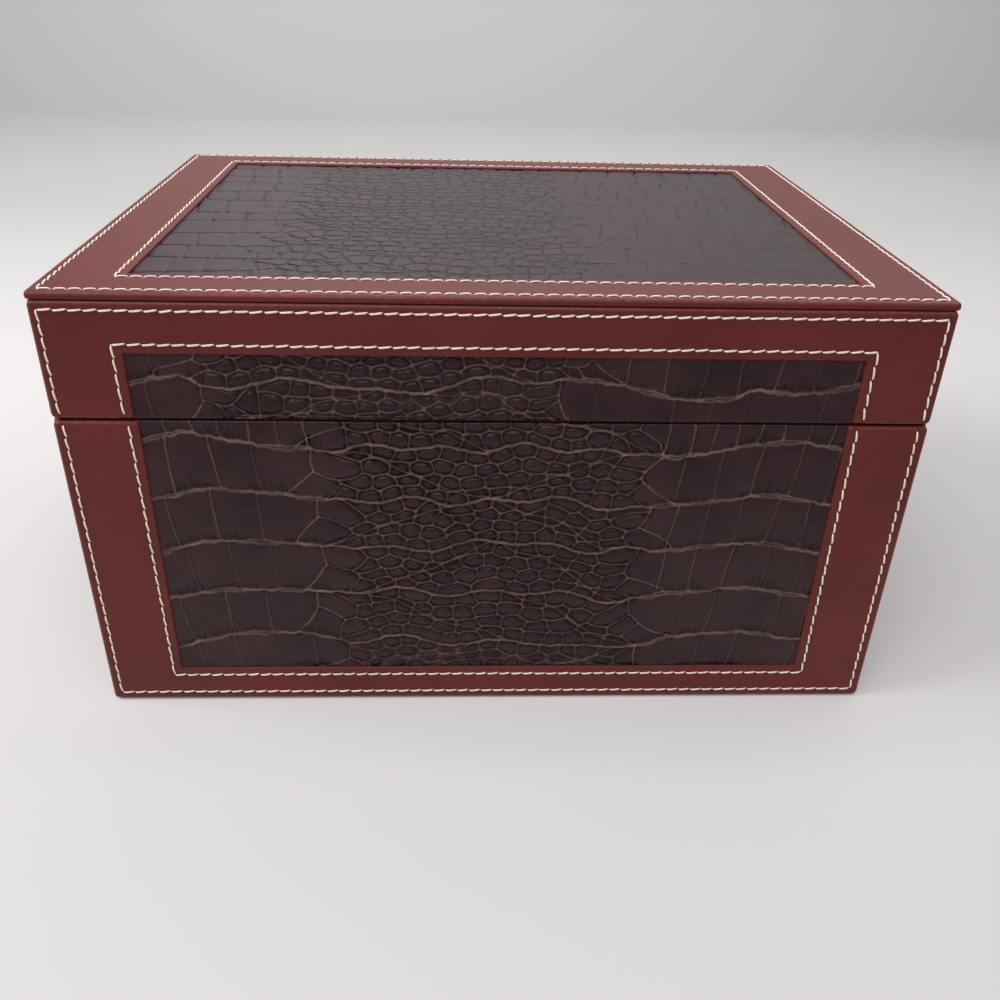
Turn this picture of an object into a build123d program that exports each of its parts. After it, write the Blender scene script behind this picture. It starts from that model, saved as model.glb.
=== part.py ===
"""A leather-covered keepsake box with a hinged lid, in millimetres.

The box stands on its felt underside with the origin at the middle of that face, +Z up and the front towards -Y.
Its core is two board carcasses, a deep base and a shallow lid. Every outer face carries one applied panel:
a thin backing board, an embossed sheet in the window, a smooth leather frame folded round the board's edges,
and two rows of topstitching. Inside are suede linings. Two brass stop hinges join the back rims.
"""

import math
import os

from build123d import *

# Overall sizes over the leather faces
WIDTH = 305.0
DEPTH = 229.0
HEIGHT = 168.6
SEAM_Z = 124.0  # height of the plane where lid and base meet

# Applied panels, from the carcass outwards
BACKING = 1.0  # backing board
SHEET = 0.7  # embossed leather
PROUD = 0.9  # how far the frame stands above the embossed sheet
WRAP = 1.0  # leather folded round the board's edge
SHEET_LAP = 6.0  # how far the embossed sheet runs under the frame
FACE_ROLL = 0.7  # rounding of the frame's outer edges and of its window
BACK_ROLL = 0.5  # rounding where the frame turns in behind
CORNER_R = 1.2  # corner of a panel seen from the front
LIP_ROLL = 0.35  # rounding of the embossed sheet's folded lip
PANEL_GAP = 0.2  # between neighbouring panels
SIDE_REVEAL = 0.8  # side panels show this much past the front and back panels
TOP_INSET = 0.3  # top panel, in from the outer faces
SEAM_RELIEF = 0.4  # each panel stops this far from the seam plane
FLOOR_RELIEF = 0.5  # base panels stop this far above the floor

# Frame band widths, from the panel's own edge to its window
LID_FACE_BAND = 17.8  # upper band on the lid's four sides
LID_POST_BAND = 27.8  # upright bands on the lid
BASE_FOOT_BAND = 15.6  # lower band on the base's four sides
BASE_POST_BAND = 28.8  # upright bands on the base
TOP_END_BAND = 27.0  # left and right bands on top
TOP_LONG_BAND = 20.6  # front and back bands on top

# Topstitching
STITCH_PITCH = 4.8
THREAD_WIDTH = 0.8
THREAD_RISE = 0.4
THREAD_SUNK = 0.1  # what shows of the thread where it dips into the leather
LID_OUTER_INSET = 3.0
BASE_OUTER_INSET = 3.6
TOP_OUTER_INSET = 3.4
INNER_INSET = 3.3  # inner row, out from the window
ROW_END = 1.6  # rows stop this far from the panel's seam edge

# Carcasses and linings
WALL = 9.0
FLOOR_BOARD = 6.0
LID_BOARD = 6.0
FELT = 1.0
FELT_INSET = 5.0
RIM = 1.0  # leather over the rims
RIM_ROLL = 0.4
LINING = 1.5
FLOOR_PAD = 3.0
LID_PAD = 3.0
PAD_GAP = 0.3
PAD_ROLL = 1.0
LEVEL_REACH = 0.01  # how near to a level an edge lies to count as at it

# Stop hinges
HINGE_INSET = 67.5  # hinge centre in from each end of the box
LEAF_LENGTH = 38.0
LEAF_THICK = 1.2
LEAF_REACH = 11.5  # from the back panels' face into the rim
MORTISE_GAP = 0.1
BARREL_R = 2.4
BARREL_OFFSET = 2.6  # barrel axis behind the back panels' face
PIN_R = 1.0
FIXED_BORE_GAP = 0.02
RUNNING_BORE_GAP = 0.05
MIDDLE_KNUCKLE = 12.6
KNUCKLE_GAP = 0.2
BARREL_CLEAR = 0.15  # between a barrel and the other leaf
HEEL_DROP = 4.6  # height of each stop heel
HEEL_BACK_GAP = 0.2  # heel in front of the back panel
STOP_ANGLE = 95.0
STOP_GAP = 0.04
PIN_DOME = 0.5
SCREW_SPACING = 12.5
SCREWS_PER_LEAF = 3
SCREW_HEAD_R = 2.1
SCREW_HEAD_H = 1.0
SCREW_SHANK_R = 1.0
SCREW_LENGTH = 9.0
SCREW_TIP = 1.2
SCREW_GAP = 0.05
SLOT_WIDTH = 0.6
SLOT_DEPTH = 0.5

# Worked out from the sizes above
PANEL = BACKING + SHEET + PROUD
CORE_X = WIDTH / 2 - PANEL
CORE_Y = DEPTH / 2 - PANEL
INNER_X = CORE_X - WALL
INNER_Y = CORE_Y - WALL
LINED_X = INNER_X - LINING
LINED_Y = INNER_Y - LINING
BASE_WALL_TOP = SEAM_Z - RIM
LID_WALL_FOOT = SEAM_Z + RIM
LID_CORE_TOP = HEIGHT - PANEL
LID_BOARD_FOOT = LID_CORE_TOP - LID_BOARD
FLOOR_TOP = FELT + FLOOR_BOARD
AXIS_Y = DEPTH / 2 + BARREL_OFFSET
HINGE_X = WIDTH / 2 - HINGE_INSET  # hinge centres, left and right of the middle
BIG = 2 * (WIDTH + DEPTH + HEIGHT)


def block(x0, x1, y0, y1, z0, z1):
    """A box between two corners."""
    size = (x1 - x0, y1 - y0, z1 - z0)
    middle = ((x0 + x1) / 2, (y0 + y1) / 2, (z0 + z1) / 2)
    return Pos(*middle) * Box(*size)


def save(name, *solids):
    """One STEP file for one named piece or one group of like pieces."""
    shape = solids[0] if len(solids) == 1 else Compound(children=list(solids))
    export_step(shape, f"parts/{name}.step")


def at_level(edges, axis, level):
    """The edges that lie at one level along an axis."""
    return edges.filter_by_position(axis, level - LEVEL_REACH, level + LEVEL_REACH)


def roll(shape, edges, radius):
    """Rounds the edges, if there are any."""
    return fillet(edges, radius) if edges else shape


class Panel:
    """One applied panel, built lying flat: u across, v up, w out from the carcass.

    seam is "top" where the window runs out of the panel's upper edge, "foot" where it runs out of the lower one
    and None where the frame goes all round.
    """

    def __init__(self, width, height, post, band, outer, seam):
        self.width = width
        self.height = height
        self.seam = seam
        self.outer = outer
        self.half = width / 2
        self.window_u = width / 2 - post
        self.low = 0.0 if seam == "foot" else band
        self.high = height if seam == "top" else height - band

    def window(self, lap, w0, w1):
        """The window's space between two depths, widened by lap where the frame bounds it."""
        v0 = self.low - (0 if self.seam == "foot" else lap)
        v1 = self.high + (0 if self.seam == "top" else lap)
        return block(-self.window_u - lap, self.window_u + lap, v0, v1, w0, w1)

    def backing(self):
        """The board that the leather is glued to."""
        u = self.half - WRAP
        return block(-u, u, WRAP, self.height - WRAP, 0, BACKING)

    def sheet(self):
        """The embossed sheet, with a lip folded over the board at the seam."""
        board_end = block(-BIG, BIG, WRAP, self.height - WRAP, 0, PANEL)
        plate = self.window(SHEET_LAP, BACKING, BACKING + SHEET) & board_end
        if self.seam is None:
            return plate
        v0 = self.height - WRAP if self.seam == "top" else 0
        lip = block(-self.window_u, self.window_u, v0, v0 + WRAP, 0, BACKING + SHEET)
        edge_v = self.height if self.seam == "top" else 0
        outer_edges = at_level(lip.edges().filter_by(Axis.X), Axis.Y, edge_v)
        return plate + roll(lip, outer_edges, LIP_ROLL)

    def frame(self):
        """The smooth leather frame, folded round the board's edges."""
        outline = Pos(0, self.height / 2) * RectangleRounded(self.width, self.height, CORNER_R)
        tall = 0.0 if self.seam is None else CORNER_R
        v0 = self.low - (tall if self.seam == "foot" else 0)
        v1 = self.high + (tall if self.seam == "top" else 0)
        hole = Pos(0, (v0 + v1) / 2) * Rectangle(2 * self.window_u, v1 - v0)
        body = extrude(outline - hole, amount=PANEL)
        body = roll(body, body.faces().sort_by(Axis.Z)[-1].edges(), FACE_ROLL)
        foot_edges = body.faces().sort_by(Axis.Z)[0].edges()
        outside = foot_edges.filter_by(lambda e: not self.by_window(e.center()))
        body = roll(body, outside, BACK_ROLL)
        return body - self.backing() - self.window(SHEET_LAP, BACKING, BACKING + SHEET) - self.sheet()

    def by_window(self, point):
        """Whether a point of the frame lies on the window's wall."""
        near = 0.01
        across = abs(point.X) < self.window_u + near
        inside = self.low - near < point.Y < self.high + near
        return across and inside

    def runs(self, left, right, low, high):
        """Straight rows of stitches round a rectangle, open at the seam."""
        level = PANEL
        open_low = self.seam == "foot"
        open_high = self.seam == "top"
        start = ROW_END if open_low else low + THREAD_WIDTH
        end = self.height - ROW_END if open_high else high - THREAD_WIDTH
        rows = []
        if not open_low:
            rows.append(Pos(left, low, level) * stitch_row(right - left))
        if not open_high:
            rows.append(Pos(left, high, level) * stitch_row(right - left))
        for u in (left, right):
            rows.append(Pos(u, start, level) * Rot(0, 0, 90) * stitch_row(end - start))
        return rows

    def stitching(self):
        """The outer row beside the panel's edge and the inner row beside the window."""
        outer = self.runs(
            -self.half + self.outer, self.half - self.outer, self.outer, self.height - self.outer
        )
        inner_u = self.window_u + INNER_INSET
        inner = self.runs(-inner_u, inner_u, self.low - INNER_INSET, self.high + INNER_INSET)
        return outer + inner


def stitch_row(length):
    """A straight row along +X: stitches that arch between the holes where the thread dips."""
    count = max(1, round(length / STITCH_PITCH))
    pitch = length / count
    points = [(0, 0), (0, THREAD_SUNK)]
    for i in range(count):
        points += [((i + 0.5) * pitch, THREAD_RISE), ((i + 1) * pitch, THREAD_SUNK)]
    points.append((length, 0))
    side = Plane.XZ * make_face(Polyline(*points, close=True))
    return extrude(side, amount=THREAD_WIDTH / 2, both=True)


def placed(shapes, plane):
    """Shapes moved from a panel's own frame onto a face of the box."""
    return [plane.location * s for s in shapes]


def face_plane(side, z):
    """The plane of one carcass face, with its origin in the middle and at height z."""
    spots = {
        "front": ((0, -CORE_Y, z), (1, 0, 0), (0, -1, 0)),
        "back": ((0, CORE_Y, z), (-1, 0, 0), (0, 1, 0)),
        "left": ((-CORE_X, 0, z), (0, -1, 0), (-1, 0, 0)),
        "right": ((CORE_X, 0, z), (0, 1, 0), (1, 0, 0)),
    }
    origin, across, out = spots[side]
    return Plane(origin=origin, x_dir=across, z_dir=out)


def hinge_spots():
    return [("left", -HINGE_X), ("right", HINGE_X)]


def mortises(upper):
    """The space that the hinge leaves of one carcass take in rim, wall and back panel."""
    z0, z1 = (SEAM_Z - MORTISE_GAP, SEAM_Z + LEAF_THICK) if upper else (SEAM_Z - LEAF_THICK, SEAM_Z + MORTISE_GAP)
    half = LEAF_LENGTH / 2 + MORTISE_GAP
    front = DEPTH / 2 - LEAF_REACH - MORTISE_GAP
    return [block(x - half, x + half, front, AXIS_Y, z0, z1) for _, x in hinge_spots()]


def screw_places():
    """Screw positions in one leaf, from the hinge's middle."""
    first = -(SCREWS_PER_LEAF - 1) / 2 * SCREW_SPACING
    y = (DEPTH / 2 - LEAF_REACH + AXIS_Y - BARREL_R - BARREL_CLEAR) / 2
    return [(first + i * SCREW_SPACING, y) for i in range(SCREWS_PER_LEAF)]


def countersunk(gap, length):
    """A countersunk screw's outline below its flat head at z = 0, widened by gap."""
    head = SCREW_HEAD_R + gap
    shank = SCREW_SHANK_R + gap
    tip = length - SCREW_TIP
    outline = [(0, 0), (head, 0), (shank, -SCREW_HEAD_H), (shank, -tip), (0, -length)]
    profile = Plane.XZ * make_face(Polyline(*outline, close=True))
    return revolve(profile, axis=Axis.Z)


def screws(upper, gap, slotted):
    """The screws of one carcass, or with a gap the holes that they sit in."""
    turn = Rot(180, 0, 0) if upper else Rot(0, 0, 0)
    made = []
    for _, x in hinge_spots():
        for dx, y in screw_places():
            screw = countersunk(gap, SCREW_LENGTH + gap)
            if slotted:
                screw -= Box(3 * SCREW_HEAD_R, SLOT_WIDTH, 2 * SLOT_DEPTH)
            made.append(Pos(x + dx, y, SEAM_Z) * turn * screw)
    return made


def leaf(x, upper):
    """One hinge leaf with its knuckles and stop heel. The lower leaf has the two outer knuckles."""
    sign = 1 if upper else -1
    half = LEAF_LENGTH / 2
    front = DEPTH / 2 - LEAF_REACH
    middle = MIDDLE_KNUCKLE / 2
    z_far = sign * LEAF_THICK
    plate = block(-half, half, front - AXIS_Y, 0, min(0, z_far), max(0, z_far))
    steep = math.radians(STOP_ANGLE / 2)
    drop = HEEL_DROP
    back = drop / math.tan(steep)
    inner = HEEL_BACK_GAP - BARREL_OFFSET
    corners = [(inner, 0), (0, 0), (back, sign * drop), (inner, sign * drop)]
    heel = extrude(Plane.YZ * make_face(Polyline(*corners, close=True)), amount=half, both=True)
    slip = STOP_GAP * Vector(0, -math.sin(steep), sign * math.cos(steep))
    stop_side = Plane(origin=slip, z_dir=(0, math.sin(steep), -sign * math.cos(steep)))
    heel -= stop_side.location * (Pos(0, 0, BIG / 2) * Box(BIG, BIG, BIG))
    spans = [(-middle, middle)] if upper else [(-half, -middle - KNUCKLE_GAP), (middle + KNUCKLE_GAP, half)]
    others = [(-BIG, -middle), (middle, BIG)] if upper else [(-middle - KNUCKLE_GAP, middle + KNUCKLE_GAP)]
    body = plate + heel
    for a, b in spans:
        body += tube(a, b, BARREL_R)
    for a, b in others:
        body -= tube(a, b, BARREL_R + BARREL_CLEAR)
    bore_gap = RUNNING_BORE_GAP if upper else FIXED_BORE_GAP
    body -= tube(-BIG, BIG, PIN_R + bore_gap)
    return Pos(x, AXIS_Y, SEAM_Z) * body


def tube(x0, x1, radius):
    """A round bar on the hinge axis, from x0 to x1."""
    return Pos((x0 + x1) / 2, 0, 0) * Rot(0, 90, 0) * Cylinder(radius, x1 - x0)


def hinge_pin(x):
    """A pin through all knuckles, with domed ends."""
    pin = Cylinder(PIN_R, LEAF_LENGTH + 2 * PIN_DOME)
    pin = fillet(pin.edges(), PIN_DOME)
    return Pos(x, AXIS_Y, SEAM_Z) * Rot(0, 90, 0) * pin


def cut(shape, tools):
    for tool in tools:
        shape -= tool
    return shape


def walls(z0, z1):
    """Front, back, left and right boards of one carcass, the side boards between the other two."""
    return {
        "front": block(-CORE_X, CORE_X, -CORE_Y, -INNER_Y, z0, z1),
        "back": block(-CORE_X, CORE_X, INNER_Y, CORE_Y, z0, z1),
        "left": block(-CORE_X, -INNER_X, -INNER_Y, INNER_Y, z0, z1),
        "right": block(INNER_X, CORE_X, -INNER_Y, INNER_Y, z0, z1),
    }


def linings(z0, z1):
    """Four lining boards against the walls, the side ones between the other two."""
    return {
        "front": block(-INNER_X, INNER_X, -INNER_Y, -LINED_Y, z0, z1),
        "back": block(-INNER_X, INNER_X, LINED_Y, INNER_Y, z0, z1),
        "left": block(-INNER_X, -LINED_X, -LINED_Y, LINED_Y, z0, z1),
        "right": block(LINED_X, INNER_X, -LINED_Y, LINED_Y, z0, z1),
    }


def rim_cover(z0, z1, rolled_z):
    """The leather strip that covers walls and linings at one rim, its inner edge rounded."""
    ring = block(-CORE_X, CORE_X, -CORE_Y, CORE_Y, z0, z1) - block(-LINED_X, LINED_X, -LINED_Y, LINED_Y, z0, z1)
    half_x, half_y = (CORE_X + LINED_X) / 2, (CORE_Y + LINED_Y) / 2
    level = at_level(ring.edges(), Axis.Z, rolled_z)
    inner = level.filter_by(lambda e: abs(e.center().X) < half_x and abs(e.center().Y) < half_y)
    return fillet(inner, RIM_ROLL)


def pad(z0, z1, rolled_z):
    """A covered pad that fits inside the linings, its shown edge rounded."""
    x = LINED_X - PAD_GAP
    y = LINED_Y - PAD_GAP
    slab = block(-x, x, -y, y, z0, z1)
    return fillet(at_level(slab.edges(), Axis.Z, rolled_z), PAD_ROLL)


def add_panel(prefix, side, panel, plane, tools, backings):
    """Writes a panel's sheet, frame and stitching, and keeps its board for the shared file."""
    board, sheet, frame = placed([panel.backing(), panel.sheet(), panel.frame()], plane)
    backings.append(cut(board, tools))
    save(f"{prefix}_{side}_embossed_sheet", cut(sheet, tools))
    save(f"{prefix}_{side}_leather_frame", frame)
    save(f"{prefix}_{side}_stitching", *placed(panel.stitching(), plane))


def side_width(side):
    """Width of the panel on one side: side panels stand between the front and back ones."""
    if side in ("front", "back"):
        return WIDTH - 2 * SIDE_REVEAL
    return DEPTH - 2 * (PANEL + PANEL_GAP)


def make_base():
    leaf_space = mortises(upper=False)
    holes = screws(upper=False, gap=SCREW_GAP, slotted=False)
    for side, wall in walls(FELT, BASE_WALL_TOP).items():
        save(f"base_{side}_wall", cut(wall, leaf_space + holes) if side == "back" else wall)
    save("base_floor_board", block(-INNER_X, INNER_X, -INNER_Y, INNER_Y, FELT, FLOOR_TOP))
    for side, lining in linings(FLOOR_TOP, BASE_WALL_TOP).items():
        save(f"base_{side}_lining", lining)
    save("base_floor_pad", pad(FLOOR_TOP, FLOOR_TOP + FLOOR_PAD, FLOOR_TOP + FLOOR_PAD))
    save("base_rim_cover", cut(rim_cover(BASE_WALL_TOP, SEAM_Z, SEAM_Z), leaf_space))
    felt_x = CORE_X - FELT_INSET
    felt_y = CORE_Y - FELT_INSET
    save("underside_felt", block(-felt_x, felt_x, -felt_y, felt_y, 0, FELT))
    backings = []
    height = SEAM_Z - SEAM_RELIEF - FLOOR_RELIEF
    for side in ("front", "back", "left", "right"):
        panel = Panel(side_width(side), height, BASE_POST_BAND, BASE_FOOT_BAND, BASE_OUTER_INSET, "top")
        tools = leaf_space if side == "back" else []
        add_panel("base", side, panel, face_plane(side, FLOOR_RELIEF), tools, backings)
    save("base_backing_boards", *backings)
    save("base_hinge_screws", *screws(upper=False, gap=0, slotted=True))


def make_lid():
    leaf_space = mortises(upper=True)
    holes = screws(upper=True, gap=SCREW_GAP, slotted=False)
    for side, wall in walls(LID_WALL_FOOT, LID_BOARD_FOOT).items():
        save(f"lid_{side}_wall", cut(wall, leaf_space + holes) if side == "back" else wall)
    save("lid_top_board", block(-CORE_X, CORE_X, -CORE_Y, CORE_Y, LID_BOARD_FOOT, LID_CORE_TOP))
    for side, lining in linings(LID_WALL_FOOT, LID_BOARD_FOOT).items():
        save(f"lid_{side}_lining", lining)
    pad_foot = LID_BOARD_FOOT - LID_PAD
    save("lid_pad", pad(pad_foot, LID_BOARD_FOOT, pad_foot))
    save("lid_rim_cover", cut(rim_cover(SEAM_Z, LID_WALL_FOOT, SEAM_Z), leaf_space))
    backings = []
    foot = SEAM_Z + SEAM_RELIEF
    height = LID_CORE_TOP - PANEL_GAP - foot
    for side in ("front", "back", "left", "right"):
        panel = Panel(side_width(side), height, LID_POST_BAND, LID_FACE_BAND, LID_OUTER_INSET, "foot")
        tools = leaf_space if side == "back" else []
        add_panel("lid", side, panel, face_plane(side, foot), tools, backings)
    long_side = WIDTH - 2 * TOP_INSET
    short_side = DEPTH - 2 * TOP_INSET
    top = Panel(long_side, short_side, TOP_END_BAND, TOP_LONG_BAND, TOP_OUTER_INSET, None)
    add_panel("lid", "top", top, Plane(origin=(0, -short_side / 2, LID_CORE_TOP)), [], backings)
    save("lid_backing_boards", *backings)
    save("lid_hinge_screws", *screws(upper=True, gap=0, slotted=True))


def make_hinges():
    for side, x in hinge_spots():
        base_leaf = cut(leaf(x, upper=False), screws(upper=False, gap=SCREW_GAP, slotted=False))
        lid_leaf = cut(leaf(x, upper=True), screws(upper=True, gap=SCREW_GAP, slotted=False))
        save(f"{side}_hinge_base_leaf", base_leaf)
        save(f"{side}_hinge_lid_leaf", lid_leaf)
    save("hinge_pins", *[hinge_pin(x) for _, x in hinge_spots()])


os.makedirs("parts", exist_ok=True)
make_base()
make_lid()
make_hinges()
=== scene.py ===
"""Looks of a leather-covered keepsake box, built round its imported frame.

Lengths inside the makers of leather and thread are millimetres on one face of the box: u across, v up,
w out from the board. Panel.place turns them to metres in the box's own frame.
"""

import math

import bmesh
import bpy
import numpy as np
from mathutils import Matrix, Vector
from mathutils.geometry import delaunay_2d_cdt


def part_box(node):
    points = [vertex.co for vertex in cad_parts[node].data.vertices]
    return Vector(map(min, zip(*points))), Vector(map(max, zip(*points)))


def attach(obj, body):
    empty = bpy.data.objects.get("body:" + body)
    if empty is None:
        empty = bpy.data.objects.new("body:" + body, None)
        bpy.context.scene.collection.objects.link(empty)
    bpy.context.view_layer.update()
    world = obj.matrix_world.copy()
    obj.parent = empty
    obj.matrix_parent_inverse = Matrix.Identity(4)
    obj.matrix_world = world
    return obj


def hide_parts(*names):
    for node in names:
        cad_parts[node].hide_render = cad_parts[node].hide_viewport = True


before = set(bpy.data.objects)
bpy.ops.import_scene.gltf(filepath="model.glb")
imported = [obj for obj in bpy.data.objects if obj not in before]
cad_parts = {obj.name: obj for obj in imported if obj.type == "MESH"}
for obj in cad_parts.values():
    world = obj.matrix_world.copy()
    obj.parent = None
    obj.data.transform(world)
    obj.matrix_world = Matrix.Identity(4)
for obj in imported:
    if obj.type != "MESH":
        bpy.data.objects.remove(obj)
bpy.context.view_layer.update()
bpy.ops.object.select_all(action="DESELECT")

MM = 0.001
BODIES = ("base", "lid")
SIDES = ("front", "back", "left", "right")
SHEET_LAP = 6.0  # embossed sheet under the frame
SHEET_TOP = 1.7  # embossed sheet's face above the board's back
FACE = 2.6  # frame's face above the board's back
SHEET_BACK = 1.0  # embossed sheet's back above the board's back
LIP_ROLL = 0.55  # leather turning over the board at the seam
LIP_IN = 0.9  # thickness of the turned-over lip


class Panel:
    """One applied panel of the box: where it is, its window and which edge meets the seam."""

    AXES = {
        "front": ((1, 0, 0), (0, 0, 1), (0, -1, 0)),
        "back": ((-1, 0, 0), (0, 0, 1), (0, 1, 0)),
        "left": ((0, -1, 0), (0, 0, 1), (-1, 0, 0)),
        "right": ((0, 1, 0), (0, 0, 1), (1, 0, 0)),
        "top": ((1, 0, 0), (0, 1, 0), (0, 0, 1)),
    }

    def __init__(self, body, side):
        self.body, self.side = body, side
        self.name = f"{body}_{side}"
        self.axes = np.array(self.AXES[side], float)
        low, high = self.corners("leather_frame")
        self.width, self.height = (high - low)[:2]
        self.origin = np.array([(low[0] + high[0]) / 2, low[1], low[2]])
        low, high = (c - self.origin for c in self.corners("embossed_sheet"))
        self.window_u = high[0] - SHEET_LAP
        self.low = low[1] + SHEET_LAP
        self.high = high[1] - SHEET_LAP
        self.seam = None if side == "top" else {"base": "high", "lid": "low"}[body]
        if self.seam == "high":
            self.high = self.height
        if self.seam == "low":
            self.low = 0.0
        high = self.corners("stitching")[1] - self.origin
        self.outer = self.width / 2 - (high[0] - CAD_THREAD / 2)

    def corners(self, part):
        """The lowest and highest corner of one of the panel's parts, along the panel's axes."""
        corners = np.array([np.array(c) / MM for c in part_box(f"{self.name}_{part}")]) @ self.axes.T
        return corners.min(0), corners.max(0)

    def place(self, uvw):
        """Points of the panel in metres in the box's frame."""
        return (np.asarray(uvw) + self.origin) @ self.axes * MM

    def turn(self, uvw):
        """Directions on the panel in the box's frame."""
        return np.asarray(uvw) @ self.axes


def linear(code):
    """A linear colour from sRGB hex, or from a linear grey given as a number."""
    if not isinstance(code, str):
        return (code, code, code, 1.0)
    parts = [int(code[i : i + 2], 16) / 255 for i in (0, 2, 4)]
    return (*(c / 12.92 if c <= 0.04045 else ((c + 0.055) / 1.055) ** 2.4 for c in parts), 1.0)


def add(tree, kind, inputs=None, **settings):
    """Adds a shader node. Settings are its properties, inputs its sockets by name or number, each a value,
    a hex colour, another node's socket, or a node, which is linked from its first socket in use."""
    node = tree.nodes.new("ShaderNode" + kind)
    for name, value in settings.items():
        if name == "stops":
            while len(node.color_ramp.elements) < len(value):
                node.color_ramp.elements.new(0.5)
            for element, (at, colour) in zip(node.color_ramp.elements, value):
                element.position, element.color = at, linear(colour)
        else:
            setattr(node, name, value)
    for key, value in (inputs or {}).items():
        named = (s for s in node.inputs if s.enabled and s.name == key)
        socket = node.inputs[key] if isinstance(key, int) else next(named)
        if isinstance(value, str):
            value = linear(value)
        if isinstance(value, bpy.types.Node):
            value = next(s for s in value.outputs if s.enabled)
        if isinstance(value, bpy.types.NodeSocket):
            tree.links.new(value, socket)
        else:
            socket.default_value = value
    return node


def material_of(name, build):
    """A material with the shader that build makes from its node tree and the object's own coordinates."""
    material = bpy.data.materials.new(name)
    material.use_nodes = True
    tree = material.node_tree
    tree.nodes.clear()
    shader = build(tree, add(tree, "TexCoord").outputs["Object"])
    add(tree, "OutputMaterial", {"Surface": shader})
    return material


def per_mm(size):
    """Noise scale, on coordinates in metres, for lumps of that many millimetres."""
    return 1000.0 / size


# Materials


def embossed_leather(tree, at):
    """Calf leather pressed under a hot plate with a reptile pattern and glazed. Scales are a dark brown with
    a low gloss and fine scratches. The raised lines are a paler brown, partly rubbed leather and partly a
    painted highlight, and the grooves and creases are painted nearly black as painted shade."""
    crest = add(tree, "Attribute", attribute_name="crest").outputs["Fac"]
    groove = add(tree, "Attribute", attribute_name="groove").outputs["Fac"]
    cloud = add(tree, "TexNoise", {"Vector": at, "Scale": per_mm(26), "Detail": 3.0})
    drawn = add(tree, "Mapping", {"Vector": at, "Scale": (1 / 9, 1 / 9, 1.0)})
    streak = add(tree, "TexNoise", {"Vector": drawn, "Scale": per_mm(1.1), "Detail": 4.0, "Roughness": 0.6})
    # Pores are 0.1 mm across. They are drawn at 0.35 mm, so that they show.
    pores = add(tree, "TexNoise", {"Vector": at, "Scale": per_mm(0.35), "Detail": 3.0, "Roughness": 0.6})
    scale = add(tree, "ValToRGB", {0: cloud}, stops=[(0.32, "2d191c"), (0.68, "3a2427")])
    fibre = add(tree, "ValToRGB", {0: streak}, stops=[(0.35, 0.8), (0.75, 1.15)])
    scale = add(tree, "Mix", {"Factor": 1.0, "A": scale, "B": fibre}, data_type="RGBA", blend_type="MULTIPLY")
    # Painted shade: the grooves and creases are mixed toward near-black 140505 by the groove mask.
    dark = add(tree, "Mix", {"Factor": groove, "A": scale, "B": "140505"}, data_type="RGBA")
    # The raised lines' paler brown is partly rubbed leather and partly a painted highlight.
    crest_tone_noise = add(tree, "TexNoise", {"Vector": at, "Scale": per_mm(7), "Detail": 3.0})
    vein = add(tree, "ValToRGB", {0: crest_tone_noise}, stops=[(0.3, "573f3c"), (0.7, "82645e")])
    tone = add(tree, "Mix", {"Factor": crest, "A": dark, "B": vein}, data_type="RGBA")
    lift = add(tree, "Math", {0: streak, 1: 0.6}, operation="MULTIPLY")
    height = add(tree, "Math", {0: pores, 1: 0.35, 2: lift}, operation="MULTIPLY_ADD")
    bump = add(tree, "Bump", {"Height": height, "Strength": 0.35, "Distance": 0.00012})
    half = add(tree, "Math", {0: cloud, 1: 0.5}, operation="MULTIPLY")
    haze = add(tree, "Math", {0: pores, 1: 0.5, 2: half}, operation="MULTIPLY_ADD")
    gloss = add(tree, "MapRange", {
        "Value": haze, "From Min": 0.3, "From Max": 0.7, "To Min": 0.3, "To Max": 0.42,
    })
    return add(tree, "BsdfPrincipled", {
        "Base Color": tone, "Roughness": gloss, "Normal": bump, "IOR": 1.5, "Specular IOR Level": 0.25,
    })


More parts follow.
